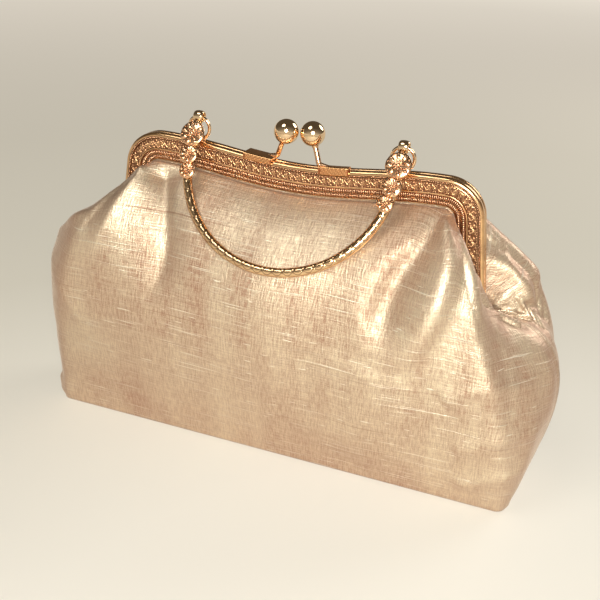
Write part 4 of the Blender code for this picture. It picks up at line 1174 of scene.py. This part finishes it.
# Each fold: its kind, its slope or its height in mm, and the points of its line, with shares across from
# the middle and up, and its widths in mm on the left and right
foldLines = {
    "front": (
        # Slanting fold below the frame's right corner
        ("tilt", 0.66, (0.395, 0.97, 3, 3), (0.398, 0.916, 6, 6), (0.39, 0.822, 12, 11),
         (0.373, 0.729, 16, 14), (0.36, 0.636, 17, 14), (0.34, 0.542, 14, 12), (0.30, 0.458, 7, 6)),
        # Crease below the left corner, with a pale slope on its left
        ("ridge", -5.4, (-0.37, 0.99, 10, 6), (-0.339, 0.916, 13, 7), (-0.314, 0.832, 16, 8),
         (-0.292, 0.701, 17, 9), (-0.305, 0.589, 16, 9), (-0.347, 0.46, 12, 8)),
        ("ridge", 2.4, (-0.52, 0.97, 5, 4), (-0.465, 0.9, 7, 5), (-0.47, 0.822, 9, 6), (-0.508, 0.692, 11, 8),
         (-0.56, 0.56, 12, 9)),
        ("ridge", -1.2, (-0.56, 0.95, 3, 3), (-0.55, 0.87, 5, 5), (-0.6, 0.75, 7, 7), (-0.66, 0.64, 8, 8)),
        ("ridge", 1.0, (-0.42, 0.98, 3, 3), (-0.40, 0.92, 4, 3), (-0.40, 0.84, 5, 4)),
        # Long soft ridge low in the middle, and the hollow beside it
        ("ridge", 1.6, (0.288, 0.47, 18, 26), (0.271, 0.346, 22, 30), (0.263, 0.178, 20, 28),
         (0.25, 0.05, 14, 20)),
        ("ridge", -1.0, (0.12, 0.5, 10, 9), (0.13, 0.36, 12, 10), (0.12, 0.22, 12, 10)),
        # Creases that run in from the right end
        ("ridge", 2.0, (0.50, 0.385, 7, 4), (0.525, 0.402, 8, 5), (0.644, 0.449, 9, 5), (0.754, 0.495, 8, 5),
         (0.881, 0.52, 6, 5)),
        ("ridge", 1.9, (0.54, 0.24, 8, 4), (0.576, 0.252, 9, 4), (0.678, 0.299, 9, 5), (0.822, 0.34, 8, 5),
         (0.95, 0.33, 6, 5)),
        ("ridge", 1.5, (0.55, 0.10, 6, 4), (0.585, 0.112, 7, 4), (0.644, 0.15, 7, 4), (0.746, 0.187, 7, 4),
         (0.86, 0.19, 6, 4)),
        ("ridge", -1.2, (0.72, 0.80, 4, 4), (0.70, 0.70, 5, 5), (0.66, 0.60, 6, 6), (0.62, 0.50, 6, 6)),
        ("ridge", 1.2, (0.80, 0.84, 3, 4), (0.755, 0.69, 5, 6), (0.755, 0.56, 7, 8), (0.745, 0.37, 9, 9),
         (0.70, 0.15, 8, 8)),
        # Creases that spread down from the left peak
        ("ridge", 1.3, (-0.80, 0.66, 4, 4), (-0.72, 0.57, 6, 6), (-0.63, 0.44, 8, 8), (-0.56, 0.30, 9, 9)),
        ("ridge", -1.0, (-0.88, 0.60, 3, 3), (-0.80, 0.47, 5, 5), (-0.73, 0.32, 6, 6), (-0.69, 0.18, 6, 6)),
        ("ridge", 1.5, (-0.86, 0.72, 4, 3), (-0.83, 0.64, 5, 4), (-0.84, 0.50, 6, 5), (-0.83, 0.34, 7, 6)),
        # Crisp left peak, with the cloth pulled flat above it
        ("ridge", 4.4, (-0.66, 0.76, 6, 6), (-0.73, 0.715, 6, 7), (-0.79, 0.68, 6, 7), (-0.86, 0.64, 6, 6),
         (-0.93, 0.58, 5, 5)),
        ("ridge", -2.6, (-0.66, 0.95, 6, 6), (-0.72, 0.87, 8, 8), (-0.755, 0.79, 9, 9), (-0.77, 0.73, 6, 6)),
        # Flap at the foot of the left end
        ("ridge", 2.6, (-0.80, 0.10, 4, 4), (-0.80, 0.06, 5, 5), (-0.79, 0.03, 5, 5), (-0.79, 0.0, 4, 4)),
    ),
    "back": (
        # Ridge from the hinge to the right peak, and the hollow under it
        ("ridge", 3.4, (0.93, 0.95, 4, 4), (0.822, 0.869, 6, 9), (0.78, 0.804, 8, 12), (0.73, 0.70, 10, 13),
         (0.72, 0.62, 9, 9)),
        ("ridge", -1.8, (0.93, 0.87, 5, 5), (0.88, 0.80, 7, 7), (0.85, 0.70, 8, 8), (0.83, 0.58, 8, 8)),
        ("tilt", -0.36, (0.37, 1.0, 5, 5), (0.36, 0.88, 9, 9), (0.33, 0.74, 12, 12), (0.29, 0.6, 11, 11),
         (0.25, 0.5, 6, 6)),
        ("ridge", -2.6, (-0.39, 0.99, 7, 9), (-0.35, 0.88, 9, 13), (-0.32, 0.74, 10, 15),
         (-0.34, 0.56, 9, 12)),
        ("ridge", 2.2, (-0.82, 0.9, 3, 3), (-0.79, 0.8, 5, 5), (-0.77, 0.68, 8, 7), (-0.72, 0.5, 10, 9)),
        ("ridge", 1.6, (-0.05, 0.55, 20, 20), (-0.08, 0.38, 24, 24), (-0.06, 0.15, 20, 20)),
        ("ridge", 1.3, (0.52, 0.3, 6, 4), (0.66, 0.34, 8, 5), (0.82, 0.37, 7, 5)),
        ("ridge", 1.3, (-0.55, 0.36, 4, 7), (-0.68, 0.4, 5, 8), (-0.84, 0.44, 5, 6)),
        ("ridge", -1.2, (0.1, 0.95, 3, 3), (0.12, 0.86, 5, 5), (0.11, 0.74, 6, 6)),
    ),
}
clothTexture = {
    "edge": 0.9 * mm,                  # rounding of a crease
    "pucker": 0.45 * mm, "puckerFade": 26 * mm, "railFade": 12 * mm,
    "crumple": 0.17 * mm,
    "seamRoll": 0.7 * mm, "seamWidth": 1.5 * mm, "seamPucker": 0.1 * mm, "seamFade": 9 * mm,
    "heldAtFrame": 5 * mm, "heldAtBase": 4 * mm, "heldAtSeam": 7 * mm, "lowest": 0.3 * mm,
}


def spotOn(grid, across, up):
    # A point of the cloth at shares across and up.
    columns = grid.shape[0]
    i = min(max((across + 1) / 2 * (columns - 1), 0), columns - 1.001)
    j = min(max(up * (clothRows - 1), 0), clothRows - 1.001)
    m, n = int(i), int(j)
    a, b = i - m, j - n
    low, high = (grid[m, k] * (1 - a) + grid[m + 1, k] * a for k in (n, n + 1))
    return low * (1 - b) + high * b


def foldLift(grid, normals, kind, height, *marks):
    # How far one fold lifts each point of the cloth along its normal.
    marks = [np.concatenate([spotOn(grid, u, v), (left * mm, right * mm)]) for u, v, left, right in marks]
    line = smoothLine(marks, 12)
    path, widths = line[:, :3], line[:, 3:]
    flat = grid.reshape(-1, 3)
    near = ((flat[:, None, :] - path[None]) ** 2).sum(-1).argmin(1)
    away, ahead = flat - path[near], headings(path)[near]
    s = (away * np.cross(normals.reshape(-1, 3), ahead)).sum(-1)
    past = (away * ahead).sum(-1)                      # beyond the ends of the line
    width = np.where(s < 0, widths[near, 0], widths[near, 1])
    share = near / (len(path) - 1)
    fade = smoothStep(share / 0.12 + 0.25) * smoothStep((1 - share) / 0.35)
    fade *= np.exp(-(past / (0.8 * width)) ** 2)
    if kind == "tilt":
        lift = height * s * np.exp(-(np.abs(s) / width) ** 4)
    else:
        edge = clothTexture["edge"]
        lift = height * mm * np.exp(-(np.sqrt(s ** 2 + edge ** 2) - edge) / width * 1.1)
    return (lift * fade).reshape(grid.shape[:2])


def noiseGrid(across, up, acrossScale, upScale, shift):
    # Smooth noise on the cloth's own map; the scales are a metre.
    spots = zip(across.ravel() * acrossScale, up.ravel() * upScale)
    return np.array([noise.noise(Vector((a, b, shift))) for a, b in spots]).reshape(across.shape)


def sculpt(grid, label):
    # Folds, puckers under the frame and beside the seams, and a light crumple.
    texture, top = clothTexture, clothRows - 1
    normals = gridNormals(grid)
    lift = sum(foldLift(grid, normals, *fold) for fold in foldLines[label])
    across, up = np.moveaxis(clothMap(grid), -1, 0)
    toFrame = up[:, top:top + 1] - up
    toSeam = np.minimum(across - across[0], across[-1] - across)
    shift = 3.7 if label == "back" else 0.0
    wave = noiseGrid(across, up, 210, 26, shift)
    crumple = noiseGrid(across, up, 45, 55, 5 + shift) + 0.25 * noiseGrid(across, up, 110, 95, 9 + shift)
    overRail = 1 - smoothStep((np.abs(grid[:, top:top + 1, 0]) - halfRail) / texture["railFade"])
    lift += texture["pucker"] * wave * np.exp(-toFrame / texture["puckerFade"]) * overRail
    lift += texture["crumple"] * crumple
    lift += texture["seamPucker"] * crumple * np.exp(-toSeam / texture["seamFade"])
    lift *= smoothStep(toFrame / texture["heldAtFrame"]) * smoothStep(up / texture["heldAtBase"] + 0.1)
    lift *= smoothStep(toSeam / texture["heldAtSeam"] + 0.05)
    roll = texture["seamRoll"] * np.exp(-(toSeam / texture["seamWidth"]) ** 2)
    lift += roll * smoothStep(toFrame / texture["railFade"])
    grid = grid.copy()
    grid[:, :clothRows] += (normals * lift[..., None])[:, :clothRows]
    grid[:, 1:, 1] = np.minimum(grid[:, 1:, 1], -gap / 2)
    grid[:, :, 2] = np.maximum(grid[:, :, 2], texture["lowest"])
    return grid


def clothMap(grid):
    # Lengths across from the middle column and up from the base, in metres.
    lengths = []
    for axis in (0, 1):
        steps = np.linalg.norm(np.diff(grid, axis=axis), axis=-1)
        lengths.append(np.insert(np.cumsum(steps, axis=axis), 0, 0, axis=axis))
    across, up = lengths
    return np.stack([across - across[grid.shape[0] // 2], up], -1)


def clothPiece(name, grid, material, back, thickness, inset=0.0):
    # A closed sheet about the grid; the back panel is turned to +Y.
    normals = gridNormals(grid)
    normals[(0, -1), :, 1] = 0
    normals[:, 0, 2] = 0
    layers = [grid + normals * (thickness / 2 - inset), grid - normals * (thickness / 2 + inset)]
    points = np.concatenate([layer.reshape(-1, 3) for layer in layers]) * (1, -1 if back else 1, 1)
    columns, rows = grid.shape[:2]
    shift = columns * rows
    outer = np.array(gridFaces(columns, rows))
    inner = outer[:, ::-1] + shift
    rim = [(i, 0) for i in range(columns)] + [(columns - 1, j) for j in range(1, rows)]
    rim += [(i, rows - 1) for i in range(columns - 2, -1, -1)] + [(0, j) for j in range(rows - 2, 0, -1)]
    rim = [i * rows + j for i, j in rim]
    edge = [[a, b, b + shift, a + shift] for a, b in zip(rim, rim[1:] + rim[:1])]
    mesh = closedMesh(name, points.tolist(), outer.tolist() + inner.tolist() + edge)
    addClothMap(mesh, np.concatenate([clothMap(grid).reshape(-1, 2)] * 2))
    return addPiece(name, mesh, material)


def hangOn(piece):
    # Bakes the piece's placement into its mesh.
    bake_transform(piece)


def makePanels(label, back):
    grid = relax(sculpt(relax(panelGrid(label), 30), label), 3)
    outer = clothPiece(label + "Silk", grid, silk, back, pouchSizes["silk"])
    thickness, inset = pouchSizes["lining"], pouchSizes["liningInset"]
    inner = clothPiece(label + "Lining", grid[::3], lining, back, thickness, inset)
    sheets = ((outer, f"outer_{label}_panel", "silk"), (inner, f"lining_{label}_panel", "lining"))
    for piece, node, slot in sheets:
        hangOn(piece)
        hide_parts(node)


def makeBasePlate(name, bottom, thickness, inset, material):
    # A flat sheet with round corners and rounded edges.
    radius = baseCorner - inset
    outline = []
    for xHand, yHand in ((1, -1), (1, 1), (-1, 1), (-1, -1)):
        middle = np.array((xHand * (halfBase - baseCorner), yHand * (halfBaseDepth - baseCorner)))
        start = math.atan2(yHand, xHand) - quarter / 2
        for k in range(9):
            angle = start + quarter * k / 8
            outline.append(middle + radius * np.array((math.cos(angle), math.sin(angle))))
    outline = np.array(outline)
    loops = []
    for inward, up in ((0.3, 0), (0.1, 0.15), (0, 0.5), (0.1, 0.85), (0.3, 1)):
        size = 1 - inward * thickness / np.abs(outline).max(0)
        loops.append(np.column_stack([outline * size, np.full(len(outline), bottom + up * thickness)]))
    mesh = sweptMesh(name, loops)
    addClothMap(mesh, np.array(loops).reshape(-1, 3)[:, :2])
    return addPiece(name, mesh, material, 50)


makePanels("front", False)
makePanels("back", True)
for name, bottom, kind, material in (("baseSilk", 0, "silk", silk),
                                     ("baseLining", pouchSizes["liningBase"], "lining", lining)):
    plate = makeBasePlate(name, bottom, pouchSizes[kind], pouchSizes[kind + "BaseInset"], material)
    dress(plate, "pouch", {"silk": "outer", "lining": "lining"}[kind] + "_base_panel")

plainNodes = {
    "base_board": board, "front_channel_cord": paper, "back_channel_cord": paper,
    "left_rivet": gold["roseGold"], "right_rivet": gold["roseGold"],
    "left_ring_lug": gold["roseGold"], "right_ring_lug": gold["roseGold"],
}
for name, material in plainNodes.items():
    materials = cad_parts[name].data.materials
    materials.clear()
    materials.append(material)
print("pouch ready")

bpy.context.view_layer.update()
